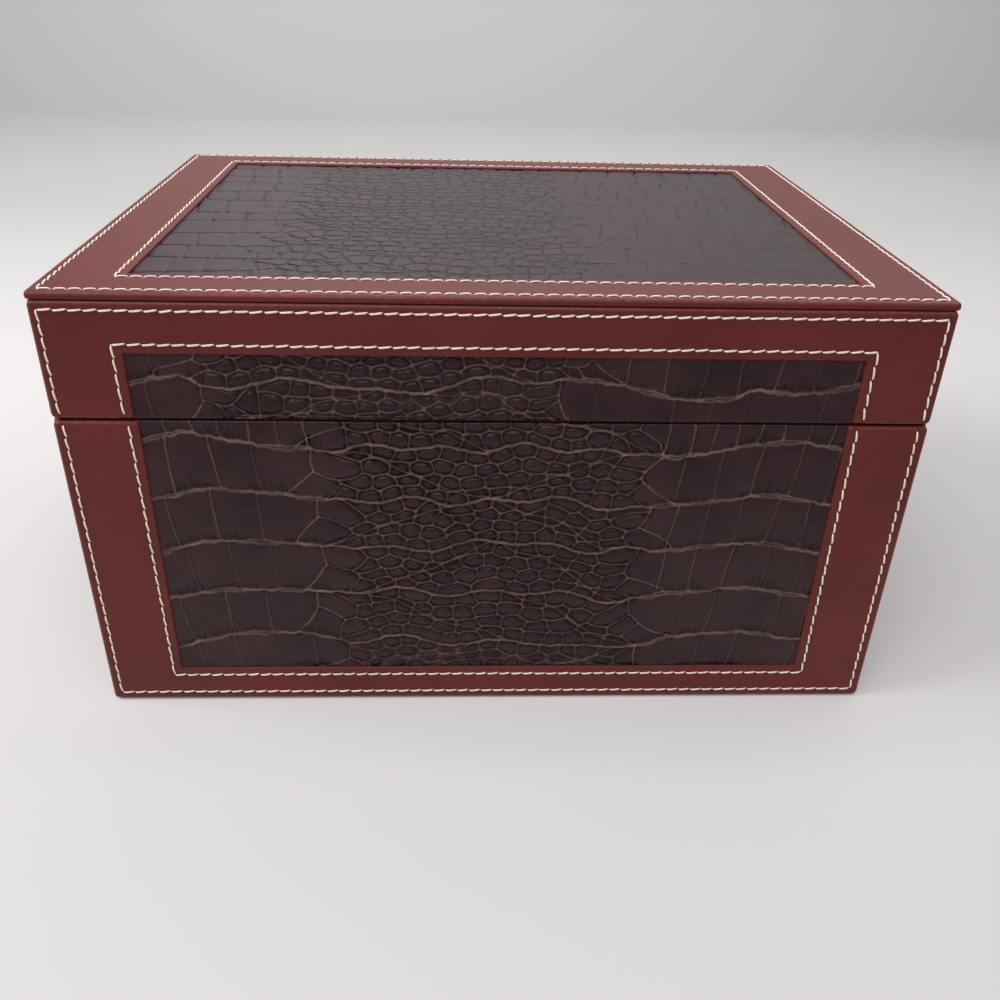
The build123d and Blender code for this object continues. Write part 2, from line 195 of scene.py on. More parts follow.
def maroon_leather(tree, at):
    """Smooth calf leather, drum dyed and finished semi-aniline. A fine grain, a satin sheen and slow clouds
    in the dye; edges paler in places, part wear and part painted highlight; painted shade in each needle
    dimple."""
    edge = add(tree, "Attribute", attribute_name="edge").outputs["Fac"]
    pit = add(tree, "Attribute", attribute_name="pit").outputs["Fac"]
    cloud = add(tree, "TexNoise", {"Vector": at, "Scale": per_mm(34), "Detail": 3.0})
    # The grain of calf is about 0.2 mm. It is drawn at 0.55 and 0.8 mm, so that it shows.
    grain = add(tree, "TexNoise", {"Vector": at, "Scale": per_mm(0.55), "Detail": 3.0, "Roughness": 0.55})
    cells = add(tree, "TexVoronoi", {"Vector": at, "Scale": per_mm(0.8)})
    tone = add(tree, "ValToRGB", {0: cloud}, stops=[(0.3, "5e211d"), (0.7, "682622")])
    speck = add(tree, "ValToRGB", {0: grain}, stops=[(0.35, 0.9), (0.7, 1.06)])
    tone = add(tree, "Mix", {"Factor": 1.0, "A": tone, "B": speck}, data_type="RGBA", blend_type="MULTIPLY")
    wear = add(tree, "TexNoise", {"Vector": at, "Scale": per_mm(2.2), "Detail": 5.0, "Roughness": 0.7})
    wear = add(tree, "MapRange", {
        "Value": wear, "From Min": 0.48, "From Max": 0.66, "To Min": 0.12, "To Max": 0.6,
    })
    # Paler rolled edges toward 955a52: partly wear, partly a painted highlight where the roll catches light.
    rub_and_highlight = add(tree, "Math", {0: edge, 1: wear}, operation="MULTIPLY")
    tone = add(tree, "Mix", {"Factor": rub_and_highlight, "A": tone, "B": "955a52"}, data_type="RGBA")
    # Painted shade: the dimple round each needle hole is darkened toward 2a0f0d.
    hole = add(tree, "Math", {0: pit, 1: 0.7}, operation="MULTIPLY")
    tone = add(tree, "Mix", {"Factor": hole, "A": tone, "B": "2a0f0d"}, data_type="RGBA")
    lift = add(tree, "Math", {0: cells, 1: 0.5}, operation="MULTIPLY")
    height = add(tree, "Math", {0: grain, 1: 0.6, 2: lift}, operation="MULTIPLY_ADD")
    bump = add(tree, "Bump", {"Height": height, "Strength": 0.25, "Distance": 0.0001})
    gloss = add(tree, "MapRange", {
        "Value": cloud, "From Min": 0.3, "From Max": 0.7, "To Min": 0.43, "To Max": 0.51,
    })
    return add(tree, "BsdfPrincipled", {
        "Base Color": tone, "Roughness": gloss, "Normal": bump, "IOR": 1.5, "Specular IOR Level": 0.28,
    })


def linen_thread(tree, at):
    """Linen thread, undyed and waxed. Warm cream, matt, with the faint fuzz of its fibres."""
    shade = add(tree, "TexNoise", {"Vector": at, "Scale": per_mm(3)})
    tone = add(tree, "ValToRGB", {0: shade}, stops=[(0.3, "ead6c4"), (0.7, "fbeee0")])
    # Fibres are 0.02 mm. They are drawn at 0.25 mm, so that they show.
    fibres = add(tree, "TexNoise", {"Vector": at, "Scale": per_mm(0.25)})
    bump = add(tree, "Bump", {"Height": fibres, "Strength": 0.5, "Distance": 0.0001})
    return add(tree, "BsdfPrincipled", {
        "Base Color": tone, "Normal": bump, "Roughness": 0.62, "IOR": 1.48,
    })


def suede_lining(tree, at):
    """Tan goat suede, buffed. A short nap with no gloss, brushed lighter and darker in soft patches."""
    stroke = add(tree, "Mapping", {"Vector": at, "Scale": (0.5, 1.0, 1.0), "Rotation": (0, 0, 0.5)})
    brushed = add(tree, "TexNoise", {
        "Vector": stroke, "Scale": per_mm(22), "Detail": 4.0, "Roughness": 0.55, "Distortion": 0.6,
    })
    # The nap is 0.1 mm. It is drawn at 0.5 mm, so that it shows.
    nap = add(tree, "TexNoise", {"Vector": at, "Scale": per_mm(0.5), "Detail": 4.0, "Roughness": 0.7})
    tone = add(tree, "ValToRGB", {0: brushed}, stops=[(0.35, "a57f56"), (0.65, "bb966d")])
    fleck = add(tree, "ValToRGB", {0: nap}, stops=[(0.3, 0.8), (0.7, 1.12)])
    tone = add(tree, "Mix", {"Factor": 1.0, "A": tone, "B": fleck}, data_type="RGBA", blend_type="MULTIPLY")
    bump = add(tree, "Bump", {"Height": nap, "Strength": 0.5, "Distance": 0.0002})
    return add(tree, "BsdfPrincipled", {
        "Base Color": tone, "Normal": bump, "Roughness": 0.92, "IOR": 1.45, "Specular IOR Level": 0.2,
        "Sheen Weight": 0.3, "Sheen Roughness": 0.5, "Sheen Tint": "e8cfae",
    })


def brushed_brass(tree, at):
    """Sheet brass, brushed along the hinge and left unlacquered. Fine lines along X stretch its highlights,
    and handling has dulled it in patches."""
    # Brush lines are 0.05 mm. They are drawn at 0.3 mm, so that they show.
    along = add(tree, "Mapping", {"Vector": at, "Scale": (1 / 40, 1.0, 1.0)})
    lines = add(tree, "TexNoise", {"Vector": along, "Scale": per_mm(0.3), "Detail": 3.0})
    dull = add(tree, "TexNoise", {"Vector": at, "Scale": per_mm(9), "Detail": 4.0})
    tone = add(tree, "ValToRGB", {0: dull}, stops=[(0.35, "a5854a"), (0.65, "c8ab70")])
    gloss = add(tree, "MapRange", {
        "Value": dull, "From Min": 0.3, "From Max": 0.7, "To Min": 0.38, "To Max": 0.26,
    })
    bump = add(tree, "Bump", {"Height": lines, "Strength": 0.3, "Distance": 0.00003})
    return add(tree, "BsdfPrincipled", {
        "Base Color": tone, "Metallic": 1.0, "Roughness": gloss, "Normal": bump,
    })


def turned_brass(tree, at):
    """Brass turned on a lathe. Smooth and bright, with a little tarnish in the slots."""
    dull = add(tree, "TexNoise", {"Vector": at, "Scale": per_mm(1.6), "Detail": 3.0})
    tone = add(tree, "ValToRGB", {0: dull}, stops=[(0.35, "9a7434"), (0.6, "cfa95f")])
    return add(tree, "BsdfPrincipled", {"Base Color": tone, "Metallic": 1.0, "Roughness": 0.27})


def drawn_steel(tree, at):
    """Steel wire, cold drawn. Grey and bright, with faint lines along its length."""
    along = add(tree, "Mapping", {"Vector": at, "Scale": (1 / 30, 1.0, 1.0)})
    lines = add(tree, "TexNoise", {"Vector": along, "Scale": per_mm(0.2), "Detail": 2.0})
    tone = add(tree, "ValToRGB", {0: lines}, stops=[(0.3, "8d8b87"), (0.7, "a5a39f")])
    return add(tree, "BsdfPrincipled", {"Base Color": tone, "Metallic": 1.0, "Roughness": 0.33})


def sawn_birch(tree, at):
    """Birch plywood, sawn and sanded. Pale and matt, with long grain lines."""
    along = add(tree, "Mapping", {"Vector": at, "Scale": (1 / 14, 1.0, 1.0)})
    grain = add(tree, "TexNoise", {"Vector": along, "Scale": per_mm(2.5), "Detail": 5.0, "Roughness": 0.6})
    tone = add(tree, "ValToRGB", {0: grain}, stops=[(0.35, "9c7a50"), (0.65, "bd9a6c")])
    bump = add(tree, "Bump", {"Height": grain, "Strength": 0.2, "Distance": 0.0002})
    return add(tree, "BsdfPrincipled", {
        "Base Color": tone, "Normal": bump, "Roughness": 0.7, "Specular IOR Level": 0.3,
    })


def fibre_board(tree, at):
    """Grey fibre board, calendered. Matt, with short mixed fibres."""
    fibres = add(tree, "TexNoise", {"Vector": at, "Scale": per_mm(0.7), "Detail": 5.0, "Roughness": 0.75})
    tone = add(tree, "ValToRGB", {0: fibres}, stops=[(0.35, "7d7366"), (0.65, "958b7d")])
    return add(tree, "BsdfPrincipled", {"Base Color": tone, "Roughness": 0.85})


def wool_felt(tree, at):
    """Wool felt, pressed, dark brown. Matt and a little fuzzy, with a mixed fibre fleck."""
    # Wool is 0.03 mm. It is drawn at 0.6 mm, so that it shows.
    fibres = add(tree, "TexNoise", {
        "Vector": at, "Scale": per_mm(0.6), "Detail": 5.0, "Roughness": 0.8, "Distortion": 1.5,
    })
    tone = add(tree, "ValToRGB", {0: fibres}, stops=[(0.35, "241d1c"), (0.7, "3a302e")])
    bump = add(tree, "Bump", {"Height": fibres, "Strength": 0.6, "Distance": 0.0003})
    return add(tree, "BsdfPrincipled", {
        "Base Color": tone, "Normal": bump, "Roughness": 0.95, "Specular IOR Level": 0.15,
        "Sheen Weight": 0.25, "Sheen Roughness": 0.5, "Sheen Tint": "8a7d78",
    })


# Embossed pattern: lines of veins, ribs and creases, then one height field

GRID = 0.2  # mm between samples of the height field
MARGIN = 8.0  # mm of field past the sheet, so that blurs don't wrap round
OVER = 34  # how far the rows and scales run on past the sheet's sides, so that its borders show no end
NEAR = 6  # how far past the sides their lines are drawn
BLEND = 14  # width over which broad scales turn into small ones
SWELL = 2.4  # height of the slow wave in an even row
SPARE_ROW = 19  # distance of the added rows below the first and above the last one
LINE_WIDTHS = {"vein": 0.37, "thin": 0.24, "strand": 0.22, "crease": 0.25}  # blur of each kind's crest
CROWDED = 0.25  # points nearer than this to a cut could let a triangle reach across it
CUT_STEP = 0.4  # spacing of points along a cut edge
NOTCH = 0.8  # embossed lip cut back at the hinges
SHOULDER = 1.2  # where the lip starts to be narrower, from the seam's edge
TUCKED = 1.6  # how far the modelled sheet runs under the frame
# Distances from each kind of line at which the mesh follows it
OFFSETS = {
    "vein": (0.0, 0.36, 0.75, 1.2, 1.8),
    "thin": (0.0, 0.32, 0.7, 1.15),
    "strand": (0.0, 0.32),
    "crease": (0.0, 0.32),
}


def ease(t):
    """0 up to 0 and 1 from 1, with a smooth step between."""
    t = np.clip(t, 0.0, 1.0)
    return t * t * (3 - 2 * t)


def through(points, x):
    """A smooth curve through control points, read at x."""
    px, py = np.array(points, float).T
    slope = np.gradient(py, px)
    i = np.clip(np.searchsorted(px, x) - 1, 0, len(px) - 2)
    h = px[i + 1] - px[i]
    t = np.clip((x - px[i]) / h, 0, 1)
    a, b = py[i], py[i + 1]
    return (
        (2 * t**3 - 3 * t**2 + 1) * a
        + (t**3 - 2 * t**2 + t) * h * slope[i]
        + (3 * t**2 - 2 * t**3) * b
        + (t**3 - t**2) * h * slope[i + 1]
    )


def wander(rng, x, size, waves):
    """A smooth random wave of about that size, from sines with the given wavelengths."""
    total = np.zeros_like(x)
    for wave in waves:
        total += np.sin(2 * math.pi * (x / (wave * rng.uniform(0.85, 1.2)) + rng.random())) / len(waves)
    return size * total * 1.4


class Pattern:
    """The lines pressed into one sheet.

    rows are its row veins, cells the span of small scales between two flanks of broad ones, cell and
    tile the sizes of each, and tight a strip whose broad scales are narrower. Scales are found in a
    space narrowed by squeeze, so that they lie wide. press is how wide the grooves are, how deep, and
    how far the veins stand up in them. A sheet whose veins don't stand up has no combs either.
    """

    def __init__(
        self, rect, rows, cells, seed, cell=(7.9, 5.4), tile=(15.5, 12.8), tight=None, squeeze=0.66,
        press=(1.0, 0.6, 1.5),
    ):
        self.u0, self.u1, self.v0, self.v1 = rect
        self.rng = np.random.default_rng(seed)
        self.cell, self.tile, self.tight = cell, tile, tight
        self.squeeze, self.press = squeeze, press
        self.cells = cells
        self.lines = []
        self.x = np.arange(self.u0 - OVER, self.u1 + OVER, 0.25)
        self.weave(rows)

    def zone(self, x):
        """0 in the broad scales of the flanks, 1 in the small scales of the middle."""
        left, right = self.cells
        return ease((x - left) / BLEND) * ease((right - x) / BLEND)

    def line(self, points, strength, kind):
        """Adds a line; strength is one value or one for each point."""
        points = np.asarray(points, float)
        self.lines.append((np.c_[points, np.broadcast_to(strength, len(points))], kind))

    def weave(self, rows):
        """The row veins, their strands and combs in the flanks, then the net of scales between them."""
        x, rng = self.x, self.rng
        zone = self.zone(x)
        levels = [through(r, x) for r in rows]
        below, above = (wander(rng, x, 1.5, (80, 45)) for _ in range(2))
        levels = [levels[0] - SPARE_ROW + below] + levels + [levels[-1] + SPARE_ROW + above]
        for k, level in enumerate(levels):
            level = level + wander(rng, x, 1.9, (52, 31)) * zone + wander(rng, x, 0.22, (9, 5))
            levels[k] = level
            flank = 1 - ease(zone * 1.6)
            self.line(np.c_[x, level], 0.95 - (0.4 if self.press[2] else 0.2) * flank, "vein")
            for keep in (x < self.cells[0] + 9, x > self.cells[1] - 9):
                for sign in (-1, 1):
                    strand = level + sign * (0.42 + wander(rng, x, 0.36, (37, 21))) * flank
                    if keep.sum() > 20:
                        self.line(np.c_[x, strand][keep], (0.85 * flank)[keep], "strand")
            if self.press[2]:
                self.comb(level, (1 - zone) ** 2)
        self.net(levels)
        for low, high in zip(levels[:-1], levels[1:]):
            self.crossing(low, high)

    def crossing(self, low, high):
        """A long line that leaves one row vein in the middle and wanders over to the next."""
        x, rng = self.x, self.rng
        width = self.cells[1] - self.cells[0]
        for part in (0, 1):
            start = self.cells[0] + width * (0.02 + 0.48 * part + rng.uniform(0, 0.12))
            end = start + rng.uniform(0.34, 0.46) * width
            here = (x > start) & (x < end)
            if here.sum() < 40:
                continue
            t = (x[here] - start) / (end - start)
            share = t if rng.random() < 0.5 else 1 - t
            level = low[here] * (1 - share) + high[here] * share
            level = level + wander(rng, x, 1.3, (33, 47))[here] * 4 * t * (1 - t)
            self.line(np.c_[x[here], level], 0.8, "thin")

    def seeds(self, levels):
        """The middle of every scale, the strip between two row veins that it is in, and its row in there."""
        x, rng = self.x, self.rng
        spots, strips, ranks = [], [], []
        for k, (low, high) in enumerate(zip(levels[:-1], levels[1:])):
            left, right = (c + rng.uniform(-7, 7) for c in self.cells)
            middle = (x > left) & (x < right)
            mean = (high - low)[middle].mean() if middle.any() else 20.0
            full = max(1, round(mean / self.cell[1]))
            squeeze = 0.62 if self.tight == k - len(levels) else 1.0
            wide, narrow = self.tile[0] * squeeze, self.tile[1] * squeeze
            small = self.cell[0]
            middling = 1.35 * small
            steps = [  # where each run of scales starts, its rows and the length of its scales
                (x[0], 1, wide), (left, 2, middling), (left + rng.uniform(6, 12), full, small),
                (right - rng.uniform(6, 12), 2, middling), (right, 1, narrow), (x[-1], 1, 1),
            ]
            for (start, count, pace), (end, _, _) in zip(steps[:-1], steps[1:]):
                count = min(count, full)
                offset = rng.random()
                for row in range(count):
                    at = start + pace * (0.25 + 0.5 * ((row + offset) % 2 > 1) + 0.15 * rng.random())
                    while at < end:
                        share = (row + 0.5 + rng.uniform(-0.14, 0.14) * (count > 1)) / count
                        if count < 3 or rng.random() > 0.03:
                            below, above = np.interp(at, x, low), np.interp(at, x, high)
                            spots.append((at, below * (1 - share) + above * share))
                            strips.append(k)
                            ranks.append(row if count > 1 else -1)
                        at += pace * (rng.uniform(0.78, 1.24) if count > 1 else rng.uniform(0.9, 1.12))
        return np.array(spots) * [self.squeeze, 1], np.array(strips), np.array(ranks)

    def net(self, levels):
        """The borders between neighbouring scales. One that ends beside a row vein is drawn onto the vein."""
        spots, strips, ranks = self.seeds(levels)
        out = delaunay_2d_cdt([Vector(p) for p in spots], [], [], 0, 1e-6, True)
        faces = np.array([f for f in out[2] if len(f) == 3])
        spots = np.array([v[:] for v in out[0]])
        origin = np.array([o[0] for o in out[3]])
        strips, ranks = strips[origin], ranks[origin]
        a, b, c = (spots[faces[:, i]] for i in range(3))
        area = 2 * ((b - a)[:, 0] * (c - a)[:, 1] - (b - a)[:, 1] * (c - a)[:, 0])
        ab, ac = ((b - a) ** 2).sum(1), ((c - a) ** 2).sum(1)
        centre = a + np.c_[
            (c - a)[:, 1] * ab - (b - a)[:, 1] * ac, (b - a)[:, 0] * ac - (c - a)[:, 0] * ab
        ] / area[:, None]
        centre = centre / [self.squeeze, 1]
        lowest, highest = strips[faces].min(1), strips[faces].max(1)
        for i in np.flatnonzero(lowest != highest):
            centre[i, 1] = np.interp(centre[i, 0], self.x, levels[highest[i]])
        sides = {}
        for number, face in enumerate(faces):
            for i, j in ((0, 1), (1, 2), (2, 0)):
                sides.setdefault((min(face[i], face[j]), max(face[i], face[j])), []).append(number)
        rng = self.rng
        for (i, j), pair in sides.items():
            if len(pair) < 2 or strips[i] != strips[j]:
                continue
            p, q = centre[pair[0]], centre[pair[1]]
            length = np.hypot(*(q - p))
            middle = (p[0] + q[0]) / 2
            if length > 30 or length < 0.4 or not self.u0 - NEAR < middle < self.u1 + NEAR:
                continue
            t = np.linspace(0, 1, max(3, int(length / 0.8)))[:, None]
            across = np.array([p[1] - q[1], q[0] - p[0]]) / length
            bow = length * rng.uniform(-0.1, 0.1) * 4 * t * (1 - t)
            zone = self.zone(middle)
            firm = 0.95 if ranks[i] != ranks[j] else 0.76
            between = (spots[i, 0] + spots[j, 0]) / 2 / self.squeeze
            if ranks[i] == ranks[j] == -1 and self.zone(between) < 0.5:
                continue
            path = p + (q - p) * t + bow * across
            self.line(path, firm * zone + 0.55 * (1 - zone), "thin")
            if zone < 0.6:
                self.line(path, 0.85 * (1 - zone), "strand")
        for strip in range(len(levels) - 1):
            middles = np.sort(spots[(strips == strip) & (ranks == -1), 0]) / self.squeeze
            for x in (middles[:-1] + middles[1:])[np.diff(middles) < 30] / 2:
                if self.zone(x) < 0.5 and self.u0 - NEAR < x < self.u1 + NEAR:
                    self.rib(levels, strip, x)

    def rib(self, levels, strip, x):
        """The line between two broad scales, which leans outwards towards its head."""
        rng = self.rng
        gap = np.interp(x, self.x, levels[strip + 1] - levels[strip])
        lean = gap * rng.uniform(0.02, 0.09) * (-1 if x < sum(self.cells) / 2 else 1)
        t = np.linspace(-1, 1, 25)
        u = x + lean * t + gap * rng.uniform(-0.03, 0.03) * (1 - t**2)
        low, high = (np.interp(u, self.x, levels[k]) for k in (strip, strip + 1))
        path = np.c_[u, low * (1 - t) / 2 + high * (1 + t) / 2]
        fade = rng.uniform(0.6, 1.0) * (0.7 + 0.35 * strip / len(levels))
        self.line(path, (0.5 if self.press[2] else 0.9) * fade, "thin")
        self.line(path, 0.85 * fade, "strand")
        self.line(path[2:-2] + [0.5, 0], (0.5 if self.press[2] else 0.15) * fade, "crease")

    def comb(self, level, flank):
        """Short creases that stand on a vein in the flanks, like the teeth of a comb."""
        x, rng = self.x, self.rng
        patchy = wander(rng, x, 1.0, (37, 23))
        at = x[0]
        while at < x[-1]:
            at += rng.uniform(1.0, 2.1)
            f, p, y = (np.interp(at, x, a) for a in (flank, patchy, level))
            if f < 0.5 or p < -0.45:
                continue
            length = rng.uniform(1.0, 2.4) * (1.3 + p)
            t = np.linspace(0, 1, 5)
            strength = rng.uniform(0.9, 1.5) * (1 - 0.75 * t)
            self.line(np.c_[at + rng.uniform(-0.4, 0.4) * t, y + 1.4 + length * t], strength, "crease")

    def fields(self):
        """Height and colour masks on a grid, from blurred drawings of the lines."""
        nu = int((self.u1 - self.u0 + 2 * MARGIN) / GRID)
        nv = int((self.v1 - self.v0 + 2 * MARGIN) / GRID)
        drawn = {kind: np.zeros((nv, nu)) for kind in OFFSETS}
        for points, kind in self.lines:
            p, seg = walk(points, 0.1)
            gu = (p[:, 0] - self.u0 + MARGIN) / GRID
            gv = (p[:, 1] - self.v0 + MARGIN) / GRID
            ok = (gu > 1) & (gu < nu - 2) & (gv > 1) & (gv < nv - 2)
            gu, gv = gu[ok], gv[ok]
            iu, iv = gu.astype(int), gv.astype(int)
            fu, fv = gu - iu, gv - iv
            amount = p[ok, 2] * seg / GRID**2
            for du, dv in ((0, 0), (1, 0), (0, 1), (1, 1)):
                part = (fu if du else 1 - fu) * (fv if dv else 1 - fv)
                np.add.at(drawn[kind], (iv + dv, iu + du), amount * part)
        fu = np.fft.rfftfreq(nu, GRID)
        fv = np.fft.fftfreq(nv, GRID)[:, None]
        square = fu**2 + fv**2
        spectra = {kind: np.fft.rfft2(image) for kind, image in drawn.items()}

        def blur(kind, sigma):
            soft = spectra[kind] * np.exp(-2 * math.pi**2 * sigma**2 * square)
            return np.fft.irfft2(soft, (nv, nu)) * sigma * math.sqrt(2 * math.pi)

        def cap(a):
            return np.tanh(np.clip(a, 0, None) * 1.1) / math.tanh(1.1)

        spread, depth, ridge = self.press
        crest_v, crest_t, crest_s, crease = (cap(blur(kind, LINE_WIDTHS[kind])) for kind in LINE_WIDTHS)
        near = np.clip(blur("vein", 1.1 * spread) + blur("thin", 1.0 * spread), 0, 2)
        pebble = 1 - ease((near - 0.34) / 0.5)
        dome = 1 - np.exp(-1.2 * (blur("vein", 2.0 * spread) + blur("thin", 1.8 * spread)))
        ridges = ridge * (0.38 * crest_v + 0.25 * crest_t + 0.14 * crest_s)
        height = depth * (pebble - 0.64 * dome - 0.64 * crease - 0.77) + ridges
        # The crest mask is partly rubbed leather and partly a painted highlight on the raised lines.
        crest = ease((crest_v - 0.42) / 0.55)
        crest += 0.7 * ease((crest_t - 0.48) / 0.5) + 0.8 * ease((crest_s - 0.35) / 0.5)
        crest = np.clip(crest, 0, 1) * min(ridge, 1.0)
        # Painted shade: this mask darkens the grooves beside the lines and the comb creases.
        dark = np.clip((1 - pebble) * (1 - crest) + crease, 0, 1)
        return height, crest, dark

    def read(self, fields, points):
        """Values of grid fields at points, between the grid's samples."""
        gu = (points[:, 0] - self.u0 + MARGIN) / GRID
        gv = (points[:, 1] - self.v0 + MARGIN) / GRID
        shape = fields[0].shape
        iu = np.clip(gu.astype(int), 0, shape[1] - 2)
        iv = np.clip(gv.astype(int), 0, shape[0] - 2)
        fu, fv = np.clip(gu - iu, 0, 1), np.clip(gv - iv, 0, 1)
        return [
            f[iv, iu] * (1 - fu) * (1 - fv) + f[iv, iu + 1] * fu * (1 - fv)
            + f[iv + 1, iu] * (1 - fu) * fv + f[iv + 1, iu + 1] * fu * fv
            for f in fields
        ]


def walk(points, step):
    """Points at even steps along a run, and the length of one step."""
    gone = np.r_[0, np.cumsum(np.hypot(*np.diff(points[:, :2], axis=0).T))]
    n = max(2, int(round(gone[-1] / step)) + 1)
    at = np.linspace(0, gone[-1], n)
    return np.stack([np.interp(at, gone, column) for column in points.T], axis=1), gone[-1] / (n - 1)


def mesh_points(pattern, step, low, high, half):
    """Points that follow every line and its slopes, then fill what is between."""
    sets = []
    for kind in OFFSETS:
        for offset in OFFSETS[kind]:
            for points, k in pattern.lines:
                if k != kind or (kind == "crease" and step > 1.0 and offset):
                    continue
                p, _ = walk(points[:, :2], step)
                along = np.gradient(p, axis=0)
                across = np.c_[-along[:, 1], along[:, 0]] / (np.hypot(*along.T)[:, None] + 1e-9)
                sets.append(p + offset * across)
                if offset:
                    sets.append(p - offset * across)
    fill = 1.9 * max(1.0, step)
    gu, gv = np.meshgrid(np.arange(-half, half, fill), np.arange(low, high, fill * 0.87))
    gu[1::2] += fill / 2
    sets.append(np.c_[gu.ravel(), gv.ravel()] + pattern.rng.uniform(-0.2, 0.2, (gu.size, 2)))
    points = np.concatenate(sets)
    u, v = points.T
    points = points[(np.abs(u) < half - CROWDED) & (v > low + CROWDED) & (v < high - CROWDED)]
    key = np.floor(points / 0.3).astype(np.int64)
    _, first = np.unique(key[:, 0] * 100003 + key[:, 1], return_index=True)
    return points[np.sort(first)]


def edge_run(a, b, step):
    """Points along a straight line at about even steps, with both its ends."""
    n = max(2, int(math.hypot(b[0] - a[0], b[1] - a[1]) / step) + 1)
    return np.linspace(a, b, n)


def hinge_notches(panel):
    """Middle and half length of each hinge, along the back panels."""
    if panel.side != "back":
        return []
    spots = []
    for side in ("left", "right"):
        low, high = (c[0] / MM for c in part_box(f"{side}_hinge_{panel.body}_leaf"))
        spots.append((-(low + high) / 2, (high - low) / 2 + 0.1))
    return spots


def border_loops(faces, count):
    """The closed runs of points round the edge of a triangulated face."""
    directed = np.concatenate([faces[:, [0, 1]], faces[:, [1, 2]], faces[:, [2, 0]]])
    pairs = np.sort(directed, axis=1)
    _, where, seen = np.unique(pairs[:, 0] * count + pairs[:, 1], return_index=True, return_counts=True)
    follow = {int(a): int(b) for a, b in directed[where[seen == 1]]}
    loops = []
    while follow:
        start = next(iter(follow))
        loop = [start]
        at = follow.pop(start)
        while at != start:
            loop.append(at)
            at = follow.pop(at)
        loops.append(np.array(loop))
    return sorted(loops, key=len, reverse=True)


def back_faces(loops, points):
    """One face over a single run, or two halves where the run has another inside it."""
    if len(loops) == 1:
        return [tuple(int(i) for i in loops[0][::-1])]
    outer, inner = loops
    centre = points[outer][:, 1].mean()
    marks = []
    for loop in (outer, inner):
        u, v = points[loop].T[:2]
        marks.append([int(np.argmin(np.abs(u) + 1000 * (sign * (v - centre) < 0))) for sign in (-1, 1)])

    def run(loop, a, b):
        return list(loop[a : b + 1]) if a <= b else list(loop[a:]) + list(loop[: b + 1])

    (oa, ob), (ia, ib) = marks
    right = run(outer, oa, ob) + run(inner, ib, ia)
    left = run(outer, ob, oa) + run(inner, ia, ib)
    return [tuple(int(i) for i in side[::-1]) for side in (right, left)]


def skin(panel, name, flat, inside, surface, walls, material):
    """A closed skin: a relief over flat points, walls down from its edge, and a plain back.

    inside keeps the triangles whose middles it accepts, surface gives place, normal and named values for each
    flat point, and walls gives the rings of points below each border point.
    """
    out = delaunay_2d_cdt([Vector(p) for p in flat], [], [], 0, 1e-6, False)
    flat = np.array([v[:] for v in out[0]])
    faces = np.array([f for f in out[2] if len(f) == 3])
    faces = faces[inside(flat[faces].mean(1))]
    used = np.unique(faces)
    fresh = np.full(len(flat), -1)
    fresh[used] = np.arange(len(used))
    flat, faces = flat[used], fresh[faces]
    place, normal, values = surface(flat)
    verts, quads, ends = [place], [], []
    count = len(place)
    for loop in border_loops(faces, len(flat)):
        upper = loop
        for ring in walls(flat[loop], place[loop]):
            lower = np.arange(count, count + len(loop))
            verts.append(ring)
            count += len(loop)
            around = zip(np.roll(upper, -1), upper, lower, np.roll(lower, -1))
            quads += [tuple(int(i) for i in q) for q in around]
            upper = lower
        ends.append(upper)
    verts = np.concatenate(verts)
    backs = back_faces(ends, verts)
    mesh = bpy.data.meshes.new(name)
    mesh.from_pydata(panel.place(verts), [], [tuple(int(i) for i in f) for f in faces] + quads + backs)
    extra = count - len(place)
    for label, value in values.items():
        layer = mesh.attributes.new(label, "FLOAT", "POINT")
        layer.data.foreach_set("value", np.r_[value, np.zeros(extra)].astype(np.float32))
    smooth = np.ones(len(mesh.polygons), bool)
    smooth[len(faces) + len(quads) :] = False
    mesh.polygons.foreach_set("use_smooth", smooth)
    mesh.update()
    normals = np.concatenate([panel.turn(normal), np.zeros((extra, 3))])
    mesh.normals_split_custom_set_from_vertices([tuple(v) for v in normals])
    mesh.materials.append(material)
    piece = bpy.data.objects.new(name, mesh)
    bpy.context.scene.collection.objects.link(piece)
    return piece


